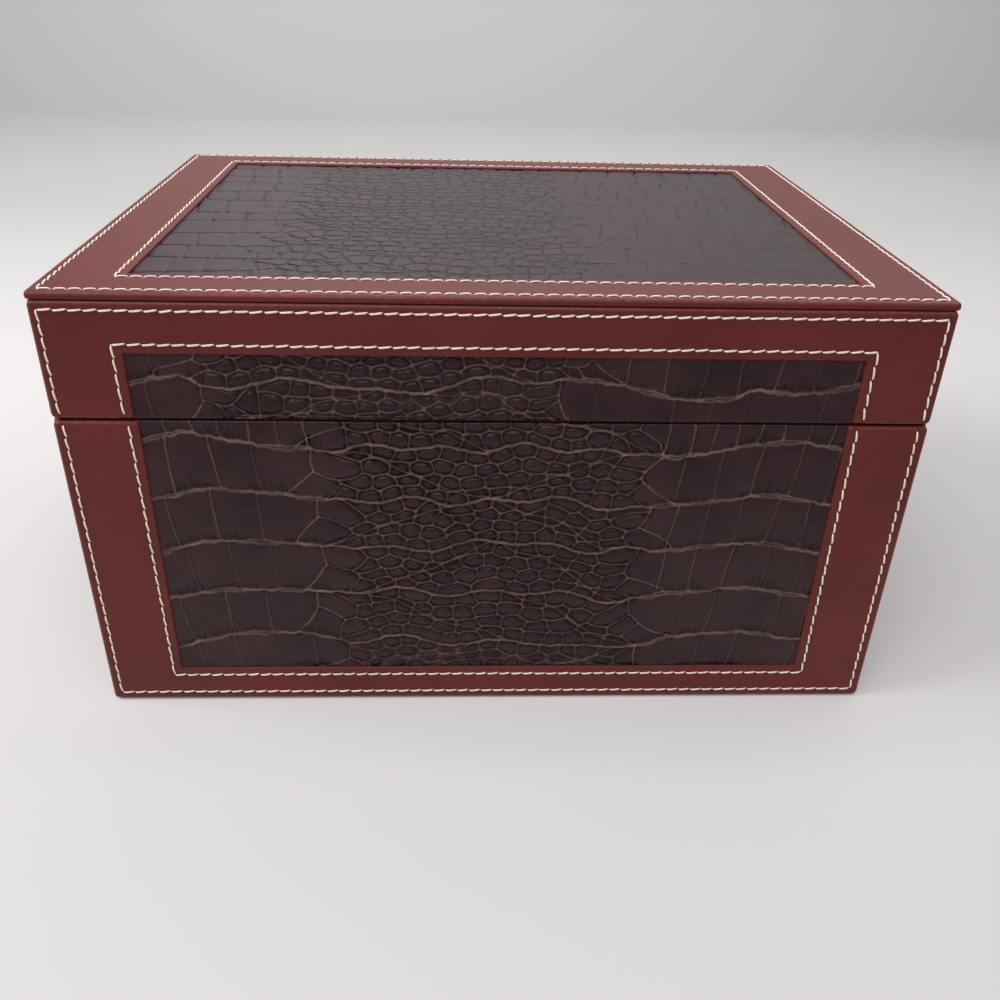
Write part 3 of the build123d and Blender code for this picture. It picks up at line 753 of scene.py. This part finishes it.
def embossed_sheet(panel, pattern, material, step):
    """One panel's embossed sheet: a pressed face, a lip turned over the board at the seam, a flat back."""
    half = panel.window_u + TUCKED
    roll = math.pi / 2 * LIP_ROLL
    fall = SHEET_TOP - LIP_ROLL
    seam = panel.seam
    edge = {"high": panel.height, "low": 0.0, None: None}[seam]
    sign = {"high": 1.0, "low": -1.0, None: 0.0}[seam]
    low, high = panel.low - TUCKED, panel.high + TUCKED
    if seam == "high":
        high = edge - LIP_ROLL + roll + fall
    if seam == "low":
        low = edge + LIP_ROLL - roll - fall
    notches = hinge_notches(panel)
    shoulder = edge - sign * SHOULDER if seam else None
    corners = ((-half, low), (half, low), (half, high), (-half, high), (-half, low))
    cuts, runs = [], [edge_run(a, b, 3.0) for a, b in zip(corners[:-1], corners[1:])]
    if seam:
        outer = high if seam == "high" else low
        for s in (-1, 1):
            cuts.append(edge_run((s * half, shoulder), (s * panel.window_u, shoulder), CUT_STEP))
            cuts.append(edge_run((s * panel.window_u, shoulder), (s * panel.window_u, outer), CUT_STEP))
        for k in range(5):
            level = edge - sign * LIP_ROLL + sign * roll * k / 4
            runs.append(edge_run((-panel.window_u, level), (panel.window_u, level), 1.2))
        for at, reach in notches:
            cut = edge - sign * NOTCH
            cuts.append(edge_run((at - reach, cut), (at + reach, cut), CUT_STEP))
            for s in (-1, 1):
                cuts.append(edge_run((at + s * reach, cut), (at + s * reach, outer), CUT_STEP))

    def crowded(p):
        """Points so near to a cut that a triangle could reach across it."""
        near = np.zeros(len(p), bool)
        if seam:
            across = [(np.abs(p[:, 0]) - panel.window_u, sign * (p[:, 1] - shoulder))]
            for at, reach in notches:
                across.append((reach - np.abs(p[:, 0] - at), sign * (p[:, 1] - edge) + NOTCH))
            for aside, beyond in across:
                near |= (np.abs(aside) < CROWDED) & (beyond > -CROWDED)
                near |= (np.abs(beyond) < CROWDED) & (aside > -CROWDED)
        return near

    points = np.concatenate(runs + [mesh_points(pattern, step, low, high, half)])
    points = sparse(np.concatenate(cuts + [points[~crowded(points)]]))

    def inside(centre):
        keep = np.ones(len(centre), bool)
        if seam:
            past = sign * (centre[:, 1] - shoulder) > 0
            keep &= ~((np.abs(centre[:, 0]) > panel.window_u) & past)
            for at, reach in notches:
                keep &= ~((np.abs(centre[:, 0] - at) < reach) & (sign * (centre[:, 1] - edge) > -NOTCH))
        return keep

    def surface(flat):
        height, crest, dark = pattern.fields()
        slope_v, slope_u = np.gradient(height, GRID)
        h, hu, hv, crest, dark = pattern.read([height, slope_u, slope_v, crest, dark], flat)
        u, s = flat.T
        past = np.maximum(np.abs(u) - panel.window_u, 0)
        if seam != "low":
            past = np.maximum(past, panel.low - s)
        if seam != "high":
            past = np.maximum(past, s - panel.high)
        h = h * (1 - ease(past / 1.2))
        zeros, ones = np.zeros_like(s), np.ones_like(s)
        v, w, out_v, out_w = s, SHEET_TOP * ones, zeros, ones
        if seam:
            turned = np.clip((sign * (s - edge) + LIP_ROLL) / LIP_ROLL, 0, None)
            angle = np.minimum(turned, math.pi / 2)
            soft = 1 - 0.75 * ease(turned / 1.2)
            h, hu, hv = h * soft, hu * soft, hv * soft
            v = np.where(turned > 0, edge - sign * LIP_ROLL * (1 - np.sin(angle)), s)
            w = SHEET_TOP - LIP_ROLL * (1 - np.cos(angle)) - np.maximum(turned - math.pi / 2, 0) * LIP_ROLL
            out_v, out_w = sign * np.sin(angle), np.cos(angle)
        place = np.c_[u, v + h * out_v, w + h * out_w]
        along = np.c_[zeros, out_w, -out_v]
        normal = np.c_[zeros, out_v, out_w] - hu[:, None] * [1, 0, 0] - hv[:, None] * along
        normal /= np.linalg.norm(normal, axis=1)[:, None]
        return place, normal, {"crest": crest, "groove": dark}

    def walls(flat, place):
        inner = place.copy()
        inner[:, 2] = SHEET_BACK
        if seam:
            limit = edge - sign * LIP_IN
            inner[:, 1] = np.where(sign * (inner[:, 1] - limit) > 0, limit, inner[:, 1])
            inner[:, 2] = np.minimum(place[:, 2], SHEET_BACK)
        return [inner]

    piece = skin(panel, f"{panel.name}_embossed_leather", points, inside, surface, walls, material)
    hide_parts(f"{panel.name}_embossed_sheet")
    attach(piece, panel.body)


def sparse(points, pitch=0.02):
    """The same points with near repeats left out; the first of each stays."""
    key = np.round(points / pitch).astype(np.int64)
    _, first = np.unique(key[:, 0] * 1000003 + key[:, 1], return_index=True)
    return points[np.sort(first)]


# Smooth leather frames

EDGE_ROLL = 1.4  # rounding where the frame folds round the board
WINDOW_ROLL = 0.7  # rounding of the cut edge at the window
CORNER = 2.0  # corner of a frame, seen from the front
CHANNEL = 0.17  # depth of the crease that the stitches lie in
CHANNEL_WIDTH = 0.75
HOLE = 0.24  # depth of the dimple at each needle hole
HOLE_WIDTH = 0.42
BORDER_STEP = 1.6  # spacing of points along a frame's borders
# How the folded edge goes down and in under the frame: inset from the outline and height
TURNED_IN = ((0, 0.9), (0, 0.5), (0.12, 0.15), (0.45, 0.0), (1.0, 0.0), (1.0, 0.95))


def slopes(f, points, step=0.01):
    """A function's gradient at flat points."""
    du, dv = np.array([step, 0]), np.array([0, step])
    return np.c_[f(points + du) - f(points - du), f(points + dv) - f(points - dv)] / (2 * step)


def leather_frame(panel, rows, material):
    """Smooth leather folded round the panel's board, with soft edges, and pressed in along the stitching."""
    half, height = panel.width / 2, panel.height
    rng = np.random.default_rng(len(panel.name) * 7 + ord(panel.name[-1]))
    holes = np.concatenate([row.holes() for row in rows])

    def inward(p):
        """Distance in from the frame's outline."""
        qu = np.abs(p[:, 0]) - (half - CORNER)
        qv = np.abs(p[:, 1] - height / 2) - (height / 2 - CORNER)
        beyond = np.hypot(np.maximum(qu, 0), np.maximum(qv, 0)) + np.minimum(np.maximum(qu, qv), 0)
        return CORNER - beyond

    def clear(p):
        """Distance out from the window."""
        far = np.abs(p[:, 0]) - panel.window_u
        if panel.seam != "low":
            far = np.maximum(far, panel.low - p[:, 1])
        if panel.seam != "high":
            far = np.maximum(far, p[:, 1] - panel.high)
        return far

    def to_edge(p):
        """Distance in from the framed edges, the seam's edge left out."""
        near = half - np.abs(p[:, 0])
        if panel.seam != "low":
            near = np.minimum(near, p[:, 1])
        if panel.seam != "high":
            near = np.minimum(near, height - p[:, 1])
        return near

    full = 2 * math.pi
    waves = [(rng.uniform(0.05, 0.16), rng.uniform(0, full), rng.uniform(0, full)) for _ in range(5)]

    def relief(p):
        """The two channels and a very slow swell."""
        h = -CHANNEL * np.exp(-(((to_edge(p) - panel.outer) / CHANNEL_WIDTH) ** 2))
        h -= CHANNEL * np.exp(-(((clear(p) - INNER_ROW) / CHANNEL_WIDTH) ** 2))
        for k, turn, phase in waves:
            h += 0.0012 / k * np.sin(k * (p[:, 0] * math.cos(turn) + p[:, 1] * math.sin(turn)) + phase)
        return h

    def dimples(p):
        """How deep each point lies in a needle hole, found among points of the cells round each hole."""
        near = np.zeros(len(p))
        key = {}
        for i, (a, b) in enumerate(np.floor(p / 2).astype(int)):
            key.setdefault((a, b), []).append(i)
        for hole in holes:
            a, b = np.floor(hole / 2).astype(int)
            at = [i for da in (-1, 0, 1) for db in (-1, 0, 1) for i in key.get((a + da, b + db), [])]
            if at:
                at = np.array(at)
                near[at] += np.exp(-((p[at] - hole) ** 2).sum(1) / HOLE_WIDTH**2)
        return near

    def outline(d):
        """The frame's outline drawn in by d."""
        r = max(CORNER - d, 0.25)
        a, b = half - d - r, height / 2 - d - r
        points = []
        corners = ((a, b, 0), (-a, b, 90), (-a, -b, 180), (a, -b, 270))
        for i, (x, y, start) in enumerate(corners):
            angles = np.radians(start + np.linspace(0, 90, 7))
            arc = np.c_[x + r * np.cos(angles), y + r * np.sin(angles)]
            nx, ny, nstart = corners[(i + 1) % 4]
            first = (nx + r * math.cos(math.radians(nstart)), ny + r * math.sin(math.radians(nstart)))
            points += [arc, edge_run(arc[-1], first, BORDER_STEP)[1:-1]]
        return np.concatenate(points) + [0, height / 2]

    def window(d):
        """The window's edge drawn out by d."""
        a = panel.window_u + d
        low = -d + panel.low if panel.seam != "low" else 0.0
        high = panel.high + d if panel.seam != "high" else height
        corners = [(-a, low), (a, low), (a, high), (-a, high), (-a, low)]
        return np.concatenate([edge_run(p, q, BORDER_STEP) for p, q in zip(corners[:-1], corners[1:])])

    def inside(p, by=-0.001):
        """Points of the leather that lie at least that far from its borders."""
        return (inward(p) > by) & (clear(p) > by)

    rings = [1 - math.sin(math.radians(a)) for a in (90, 70, 52, 35, 18, 0)]
    sets = [outline(EDGE_ROLL * d) for d in rings] + [window(WINDOW_ROLL * d) for d in rings]
    for centre, path in ((panel.outer, outline), (INNER_ROW, window)):
        sets += [path(centre + d) for d in (-1.3, -0.75, -0.35, 0, 0.35, 0.75, 1.3)]
    turn = np.radians(np.arange(0, 360, 60))
    star = np.concatenate([[[0, 0]]] + [r * np.c_[np.cos(turn), np.sin(turn)] for r in (0.28, 0.6)])
    sets.append((holes[:, None, :] + star[None]).reshape(-1, 2))
    gu, gv = np.meshgrid(np.arange(-half, half, 4.0), np.arange(0, height, 3.5))
    gu[1::2] += 2.0
    filling = np.c_[gu.ravel(), gv.ravel()]
    sets.append(filling[inside(filling, 1.6)])
    points = np.concatenate(sets)
    points = sparse(points[inside(points)], 0.04)

    def surface(flat):
        s1 = 1 - np.clip(inward(flat), 0, EDGE_ROLL) / EDGE_ROLL
        s2 = 1 - np.clip(clear(flat), 0, WINDOW_ROLL) / WINDOW_ROLL
        c1, c2 = np.sqrt(np.clip(1 - s1**2, 0, 1)), np.sqrt(np.clip(1 - s2**2, 0, 1))
        pits = dimples(flat)
        w = FACE - EDGE_ROLL * (1 - c1) - WINDOW_ROLL * (1 - c2) + relief(flat) * c1 * c2 - HOLE * pits
        rough = slopes(relief, flat)
        bend = s1[:, None] * slopes(inward, flat) + s2[:, None] * slopes(clear, flat)
        normal = np.c_[-bend - rough * (c1 * c2)[:, None], c1 * c2]
        normal /= np.linalg.norm(normal, axis=1)[:, None]
        # A band along the rolled edge that is painted paler: partly wear, partly painted highlight.
        edge_wear_and_highlight = np.exp(-(((s1 - 0.55) / 0.3) ** 2))
        # The dimples' depth is also used as their painted shade in the leather's colour.
        return np.c_[flat, w], normal, {"edge": edge_wear_and_highlight, "pit": np.clip(pits, 0, 1)}

    def walls(flat, place):
        outer = inward(flat) < 0.03
        into = slopes(inward, flat)
        rings = []
        for k, (inset, w) in enumerate(TURNED_IN):
            down = FACE - WINDOW_ROLL - 0.05 * (k + 1)
            ring = np.c_[flat + inset * into, np.full(len(flat), w)]
            rings.append(np.where(outer[:, None], ring, np.c_[flat, np.full(len(flat), down)]))
        return rings

    piece = skin(panel, f"{panel.name}_smooth_leather", points, inside, surface, walls, material)
    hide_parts(f"{panel.name}_leather_frame")
    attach(piece, panel.body)


# Topstitching

PITCH = 4.8
CAD_THREAD = 0.8  # width of a row in the CAD
THREAD = 0.68
INNER_ROW = 3.3  # inner row, out from the window
ROW_END = 1.6  # rows stop this far from the seam's edge
SUNK = 0.1  # how deep a stitch lies in the leather
STITCH_LENGTH = 4.7
STITCH_SLANT = 6.5  # degrees that a stitch leans from its row


class Row:
    """One straight row of stitches on a panel, from start to end."""

    def __init__(self, start, end):
        self.start, self.end = np.array(start, float), np.array(end, float)
        self.length = np.hypot(*(self.end - self.start))
        self.count = max(1, round(self.length / PITCH))

    def holes(self):
        """The needle holes along the row."""
        return np.linspace(self.start, self.end, self.count + 1)

    def middles(self):
        """The middle of each stitch."""
        holes = self.holes()
        return (holes[1:] + holes[:-1]) / 2

    def angle(self):
        return math.atan2(*(self.end - self.start)[::-1])


def rows_of(panel):
    """The panel's rows of stitches, beside its edge and beside its window, open at the seam."""
    half = panel.width / 2
    nearer = half - panel.outer
    boxes = (
        (nearer, panel.outer, panel.height - panel.outer),
        (panel.window_u + INNER_ROW, panel.low - INNER_ROW, panel.high + INNER_ROW),
    )
    rows = []
    for u, low, high in boxes:
        start = ROW_END if panel.seam == "low" else low
        end = panel.height - ROW_END if panel.seam == "high" else high
        if panel.seam != "low":
            rows.append(Row((-u, low), (u, low)))
        if panel.seam != "high":
            rows.append(Row((-u, high), (u, high)))
        rows += [Row((s * u, start), (s * u, end)) for s in (-1, 1)]
    return rows


def one_stitch():
    """A single stitch lying along X: a short bar, cut into slices and arched so that both ends dive."""
    bpy.ops.mesh.primitive_cylinder_add(
        vertices=7, radius=THREAD / 2, depth=STITCH_LENGTH, end_fill_type="NGON", rotation=(0, math.pi / 2, 0)
    )
    bar = bpy.context.object
    bpy.ops.object.transform_apply(location=True, rotation=True, scale=True)
    bpy.ops.object.mode_set(mode="EDIT")
    for k in range(1, 8):
        bpy.ops.mesh.select_all(action="SELECT")
        at = (k / 4 - 1) * STITCH_LENGTH / 2
        bpy.ops.mesh.bisect(plane_co=(math.copysign(abs(at) ** 0.8, at), 0, 0), plane_no=(1, 0, 0))
    bpy.ops.object.mode_set(mode="OBJECT")
    for vert in bar.data.vertices:
        t = abs(vert.co.x) / (STITCH_LENGTH / 2)
        thin = 1 - 0.3 * t**5
        vert.co.y *= 1.06 * thin
        vert.co.z = vert.co.z * 0.86 * thin + 0.22 - 0.22 * t**2 - 0.42 * t**8
    verts = np.array([v.co[:] for v in bar.data.vertices])
    faces = [tuple(p.vertices) for p in bar.data.polygons]
    bpy.data.objects.remove(bar)
    return verts, faces


def stitches(panel, rows, shape, material):
    """All the stitches of a panel, each a copy of the same one laid a little askew along its row."""
    verts, faces = shape
    rng = np.random.default_rng(11 + len(panel.name))
    places, polys = [], []
    count = 0
    for row in rows:
        for middle in row.middles():
            turn = row.angle() + math.radians(STITCH_SLANT + rng.normal(0, 1.3))
            cos, sin = math.cos(turn), math.sin(turn)
            stretch = row.length / row.count / PITCH
            u, v = verts[:, 0] * stretch, verts[:, 1]
            middle = middle + rng.normal(0, 0.05, 2)
            turned = np.c_[u * cos - v * sin, u * sin + v * cos]
            places.append(np.c_[middle + turned, FACE - SUNK + verts[:, 2]])
            polys += [tuple(i + count for i in f) for f in faces]
            count += len(verts)
    name = f"{panel.name}_topstitching"
    mesh = bpy.data.meshes.new(name)
    mesh.from_pydata(panel.place(np.concatenate(places)), [], polys)
    mesh.polygons.foreach_set("use_smooth", np.ones(len(mesh.polygons), bool))
    mesh.update()
    mesh.materials.append(material)
    piece = bpy.data.objects.new(name, mesh)
    bpy.context.scene.collection.objects.link(piece)
    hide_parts(f"{panel.name}_stitching")
    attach(piece, panel.body)
    return piece


# Where the row veins run, in mm from the sheet's middle and up from the ground

BASE_FOOT = 0.5  # lower edge of the base's panels
LID_FOOT = 124.4  # lower edge of the lid's panels


def lowered(rows, by):
    """The same rows, measured from the foot of their panel."""
    return [[(x, y - by) for x, y in row] for row in rows]


FRONT_ROWS = lowered([
    [
        (-126, 24.5), (-111, 29.6), (-102, 32.1), (-91, 33), (-71, 32.3), (-62, 30.5), (-46, 29.2),
        (-20, 28.5), (10, 27), (40, 26), (59, 26.3), (66, 29.3), (78, 31), (96, 33), (106, 31.5),
        (116, 29.6), (126, 28.8),
    ],
    [
        (-126, 48.8), (-111, 51.7), (-101, 53.4), (-92, 53.6), (-78, 53.1), (-52, 51.9), (-33, 51.9),
        (-10, 52.5), (20, 50.5), (57, 49.6), (69, 51.6), (80, 52.7), (101, 53.8), (108, 52.3), (126, 49.6),
    ],
    [
        (-126, 68.5), (-113, 73.2), (-105, 75), (-97, 75.2), (-72, 73.9), (-50, 71.6), (-40, 71),
        (-20, 73.5), (20, 73), (55, 71), (68, 71.5), (86, 74), (95, 74.4), (104, 73.9), (113, 72),
        (126, 69.8),
    ],
    [
        (-126, 92), (-114, 94.3), (-108, 96.6), (-98, 97), (-75, 94.4), (-49, 92), (-28, 91.5), (0, 93),
        (30, 91), (53, 90), (66, 91), (83, 93.2), (100, 95), (109, 94.1), (120, 91.5), (126, 91),
    ],
    [
        (-126, 116), (-113, 118.4), (-108, 119.3), (-101, 118), (-92, 116.2), (-81, 114.4), (-65, 112.9),
        (-50, 112.4), (-20, 114), (15, 113), (51, 112.6), (62, 110.5), (76, 112.7), (92, 116), (101, 116.8),
        (113, 115.9), (126, 113.6),
    ],
], BASE_FOOT)

LID_FRONT_ROWS = lowered([
    [
        (-126, 118), (-109, 121), (-60, 121.5), (0, 122), (60, 120), (126, 119),
    ],
    [
        (-126, 136.6), (-114, 139.3), (-107, 140.4), (-101, 137), (-86, 138.7), (-60, 136.8), (-33, 134.9),
        (-19, 138.3), (8, 138.2), (24, 140.1), (47, 136.7), (68, 132.6), (82, 134.3), (88, 137),
        (95, 135.9), (110, 135.8), (126, 139.9),
    ],
], LID_FOOT)


def even_rows(low, high, gap, half, seed):
    """Row veins at about even heights, each with its own slow wave."""
    rng = np.random.default_rng(seed)
    count = max(1, round((high - low) / gap))
    rows = []
    for k in range(count):
        level = low + (k + 0.5 + rng.uniform(-0.12, 0.12)) * (high - low) / count
        xs = np.linspace(-half - 4, half + 4, 9)
        wave = wander(rng, xs, SWELL, (190, 120)) - SWELL * 0.5 * (np.abs(xs) / half) ** 2
        rows.append([(x, level + w) for x, w in zip(xs, wave)])
    return rows


glazed = material_of("calf leather, plate embossed and glazed", embossed_leather)
maroon = material_of("smooth calf leather, semi-aniline", maroon_leather)
linen = material_of("linen thread, waxed", linen_thread)

PANELS = {}
for body, sides in (("base", SIDES), ("lid", ("top", *SIDES))):
    for side in sides:
        PANELS[f"{body}_{side}"] = Panel(body, side)


def dress_sheet(name, rows, cells, seed, step, **sizes):
    """A panel's embossed sheet, with a pattern that runs a little past its window."""
    panel = PANELS[name]
    rect = (-panel.window_u - 3, panel.window_u + 3, panel.low - 4, panel.high + 4)
    pattern = Pattern(rect, rows, cells, seed, **sizes)
    embossed_sheet(panel, pattern, glazed, step)


dress_sheet("base_front", FRONT_ROWS, (-66, 60), 3, 0.85, tight=-2)
dress_sheet("lid_front", LID_FRONT_ROWS, (-104, 26), 5, 0.85)
top_panel = PANELS["lid_top"]
top_rows = even_rows(top_panel.low, top_panel.high, 16.5, top_panel.window_u, 8)
dress_sheet(
    "lid_top", top_rows, (-90, 38), 9, 1.3,
    cell=(7.0, 7.0), tile=(12.5, 14.0), squeeze=0.9, press=(0.55, 0.32, 0.0),
)
for number, side in enumerate(("back", "left", "right")):
    for body, gap, count in (("base", 21.5, 20), ("lid", 20.0, 40)):
        panel = PANELS[f"{body}_{side}"]
        rows = even_rows(panel.low, panel.high, gap, panel.window_u, count + number)
        cells = (-0.5 * panel.window_u, 0.5 * panel.window_u)
        dress_sheet(panel.name, rows, cells, count + 10 + number, 1.3, press=(1.0, 0.44, 1.3))

stitch = one_stitch()
for panel in PANELS.values():
    rows = rows_of(panel)
    leather_frame(panel, rows, maroon)
    stitches(panel, rows, stitch, linen)


# Inside and fittings

PAD_GRID = (56, 40)
PAD_ROLL = 1.1  # rounded edge of a pad
PAD_CROWN = 1.5  # how far a pad swells in its middle
PAD_DRAWN_IN = 0.7  # how far a pad's sides draw in between its corners
PUCKER = 0.22  # height of the folds at a pad's corners


def suede_pad(node, body, shown, material):
    """A thin foam-faced board wrapped in suede: a low crown, a rolled edge on its shown side, sides drawn in
    between the corners and small puckers where the suede is folded at each corner."""
    low, high = (np.array(c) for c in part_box(node))
    size, middle = high - low, (low + high) / 2
    bpy.ops.mesh.primitive_grid_add(x_subdivisions=PAD_GRID[0], y_subdivisions=PAD_GRID[1], size=1.0)
    pad = bpy.context.object
    pad.name = pad.data.name = f"{node}_suede"
    pad.scale = (size[0], size[1], 1.0)
    pad.location = (middle[0], middle[1], low[2])
    bpy.ops.object.transform_apply(location=True, rotation=True, scale=True)
    bpy.ops.object.mode_set(mode="EDIT")
    bpy.ops.mesh.select_all(action="SELECT")
    bpy.ops.mesh.extrude_region_move(TRANSFORM_OT_translate={"value": (0, 0, size[2])})
    bpy.ops.mesh.select_all(action="SELECT")
    bpy.ops.mesh.normals_make_consistent(inside=False)
    mesh = bmesh.from_edit_mesh(pad.data)
    face_z = high[2] if shown > 0 else low[2]
    for edge in mesh.edges:
        flat = all(abs(v.co.z - face_z) < 1e-5 for v in edge.verts)
        rim = any(abs(f.normal.z) < 0.5 for f in edge.link_faces)
        edge.select = flat and rim
    bmesh.update_edit_mesh(pad.data)
    bpy.ops.mesh.bevel(offset=PAD_ROLL * MM, segments=5)
    bpy.ops.object.mode_set(mode="OBJECT")
    co = np.array([v.co[:] for v in pad.data.vertices])
    x, y = ((co[:, :2] - middle[:2]) / (size[:2] / 2)).T
    inner_x, inner_y = np.clip(1 - x**2, 0, 1), np.clip(1 - y**2, 0, 1)
    turn = np.arctan2(size[1] * (1 - np.abs(y)), size[0] * (1 - np.abs(x)))
    corner = np.hypot(size[0] * (1 - np.abs(x)), size[1] * (1 - np.abs(y))) / 2 / MM
    pucker = PUCKER * np.exp(-((corner / 13) ** 2)) * np.sin(14 * turn) * np.minimum(corner / 3, 1)
    crown = PAD_CROWN * (inner_x * inner_y) ** 0.45
    shown_part = np.clip((co[:, 2] - middle[2]) * shown / (size[2] / 2), 0, 1)
    co[:, 2] += shown * shown_part * (crown + pucker) * MM
    co[:, 0] -= np.sign(x) * np.abs(x) ** 6 * inner_y * PAD_DRAWN_IN * MM
    co[:, 1] -= np.sign(y) * np.abs(y) ** 6 * inner_x * PAD_DRAWN_IN * MM
    pad.data.vertices.foreach_set("co", co.ravel())
    pad.data.update()
    bpy.ops.object.shade_smooth()
    pad.data.materials.append(material)
    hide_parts(node)
    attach(pad, body)


def finish_nodes(part_names, material):
    """The CAD's own shape, with its finish."""
    for name in part_names:
        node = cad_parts[name]
        node.data.materials.clear()
        node.data.materials.append(material)


suede = material_of("goat suede, buffed, tan", suede_lining)
suede_pad("base_floor_pad", "base", 1, suede)
suede_pad("lid_pad", "lid", -1, suede)
finish_nodes([f"{body}_{side}_lining" for body in BODIES for side in SIDES], suede)
finish_nodes(["base_rim_cover", "lid_rim_cover"], maroon)
boards = [f"{body}_{side}_wall" for body in BODIES for side in SIDES]
leaves = [f"{side}_hinge_{body}_leaf" for side in ("left", "right") for body in BODIES]
for part_names, name, surface in (
    (boards + ["base_floor_board", "lid_top_board"], "birch plywood, sanded", sawn_birch),
    (["base_backing_boards", "lid_backing_boards"], "fibre board, calendered", fibre_board),
    (["underside_felt"], "wool felt, pressed", wool_felt),
    (leaves, "brass, brushed", brushed_brass),
    (["base_hinge_screws", "lid_hinge_screws"], "brass, turned", turned_brass),
    (["hinge_pins"], "steel wire, drawn", drawn_steel),
):
    finish_nodes(part_names, material_of(name, surface))


# Stage

FLOOR = -0.0002  # just under the felt, so that the two don't lie in one plane


def matt_paper(tree, at):
    """Background paper, matt and nearly white. It is painted greyer towards the wall, as painted shade where
    less light falls.
    """
    depth = add(tree, "SeparateXYZ", {"Vector": at}).outputs["Y"]
    painted_wall_shade = add(tree, "MapRange", {"Value": depth, "From Min": 0.25, "From Max": 0.7})
    tone = add(tree, "ValToRGB", {"Fac": painted_wall_shade}, stops=[(0, "dfdddc"), (1, "c7c5c5")])
    return add(tree, "BsdfPrincipled", {"Base Color": tone, "Roughness": 0.8, "Specular IOR Level": 0.2})


def matt_card(tree, _):
    """Grey card, matt."""
    return add(tree, "BsdfPrincipled", {
        "Base Color": "989696", "Roughness": 0.9, "Specular IOR Level": 0.1,
    })


def stage():
    """A pale paper sweep: floor, bend and wall in one sheet."""
    bpy.ops.mesh.primitive_plane_add(size=1.0)
    sweep = bpy.context.object
    sweep.name = "paper_sweep"
    for vert in sweep.data.vertices:
        vert.co = (vert.co.x * 8.0, -8.0 if vert.co.y < 0 else 1.35, FLOOR)
    bpy.ops.object.mode_set(mode="EDIT")
    mesh = bmesh.from_edit_mesh(sweep.data)
    for part in (*mesh.faces, *mesh.edges, *mesh.verts):
        part.select = False
    far = [e for e in mesh.edges if all(v.co.y > 1.0 for v in e.verts)]
    for edge in far:
        edge.select = True
    bmesh.update_edit_mesh(sweep.data)
    bpy.ops.mesh.extrude_region_move(TRANSFORM_OT_translate={"value": (0, 0, 2.6)})
    mesh = bmesh.from_edit_mesh(sweep.data)
    for edge in mesh.edges:
        edge.select = all(v.co.y > 1.0 and v.co.z < 0.1 for v in edge.verts)
    bmesh.update_edit_mesh(sweep.data)
    bpy.ops.mesh.bevel(offset=0.95, segments=32)
    bpy.ops.object.mode_set(mode="OBJECT")
    bpy.ops.object.shade_smooth()
    sweep.data.materials.append(material_of("background paper, matt", matt_paper))
    world = bpy.data.worlds.new("studio")
    bpy.context.scene.world = world
    world.use_nodes = True
    tree = world.node_tree
    tree.nodes["Background"].inputs[0].default_value = linear("d8d6d6")
    tree.nodes["Background"].inputs[1].default_value = 0.5


def grey_card():
    """A grey card on the floor in front. Only reflections see it, which keeps the dark leather deep."""
    bpy.ops.mesh.primitive_plane_add(size=1.0, location=(0, -0.79, 0.003))
    card = bpy.context.object
    card.name = "grey_card"
    card.scale = (2.6, 1.04, 1)
    bpy.ops.object.transform_apply(location=True, rotation=True, scale=True)
    card.data.materials.append(material_of("grey card, matt", matt_card))
    card.visible_camera = False
    card.visible_diffuse = False
    card.visible_shadow = False
    card.visible_transmission = False


def lamp(name, place, target, size, watts):
    """A white area lamp that shines on its target; place, target and size are metres."""
    data = bpy.data.lights.new(name, "AREA")
    data.shape = "RECTANGLE"
    data.size, data.size_y = size
    data.energy = watts
    item = bpy.data.objects.new(name, data)
    bpy.context.scene.collection.objects.link(item)
    item.location = place
    item.rotation_euler = (Vector(target) - Vector(place)).to_track_quat("-Z", "Y").to_euler()


def camera():
    """The photograph's view: 55 degrees wide, close in front, looking 30 degrees down."""
    data = bpy.data.cameras.new("camera")
    data.sensor_width = 36.0
    data.lens = 0.96299 * data.sensor_width  # the picture is as wide as 1 / 0.96299 of its distance
    data.clip_start = 0.01
    item = bpy.data.objects.new("camera", data)
    bpy.context.scene.collection.objects.link(item)
    pitch, yaw, roll = math.radians(30.003), math.radians(2.918), math.radians(1.669)
    ahead = Vector((math.sin(yaw) * math.cos(pitch), math.cos(yaw) * math.cos(pitch), -math.sin(pitch)))
    right = Vector((math.cos(yaw), -math.sin(yaw), 0))
    up = right.cross(ahead)
    tilted_right = right * math.cos(roll) + up * math.sin(roll)
    tilted_up = up * math.cos(roll) - right * math.sin(roll)
    turn = Matrix((tilted_right, tilted_up, -ahead)).transposed()
    item.matrix_world = Matrix.Translation((-0.01434, -0.4151, 0.26729)) @ turn.to_4x4()
    bpy.context.scene.camera = item


stage()
grey_card()
lamp("key", (-0.95, -0.2, 0.95), (0, 0, 0.08), (0.6, 0.5), 8.2)
lamp("front fill", (-0.2, -0.95, 1.45), (0, -0.2, 0.05), (1.4, 1.0), 12.5)
lamp("back", (0.3, 0.8, 1.15), (0, 0, 0.15), (1.8, 0.7), 10)
lamp("wall wash", (0.3, 0.2, 1.5), (0.3, 1.35, 0.75), (2.6, 0.5), 7)
camera()
bpy.context.scene.view_settings.view_transform = "Standard"
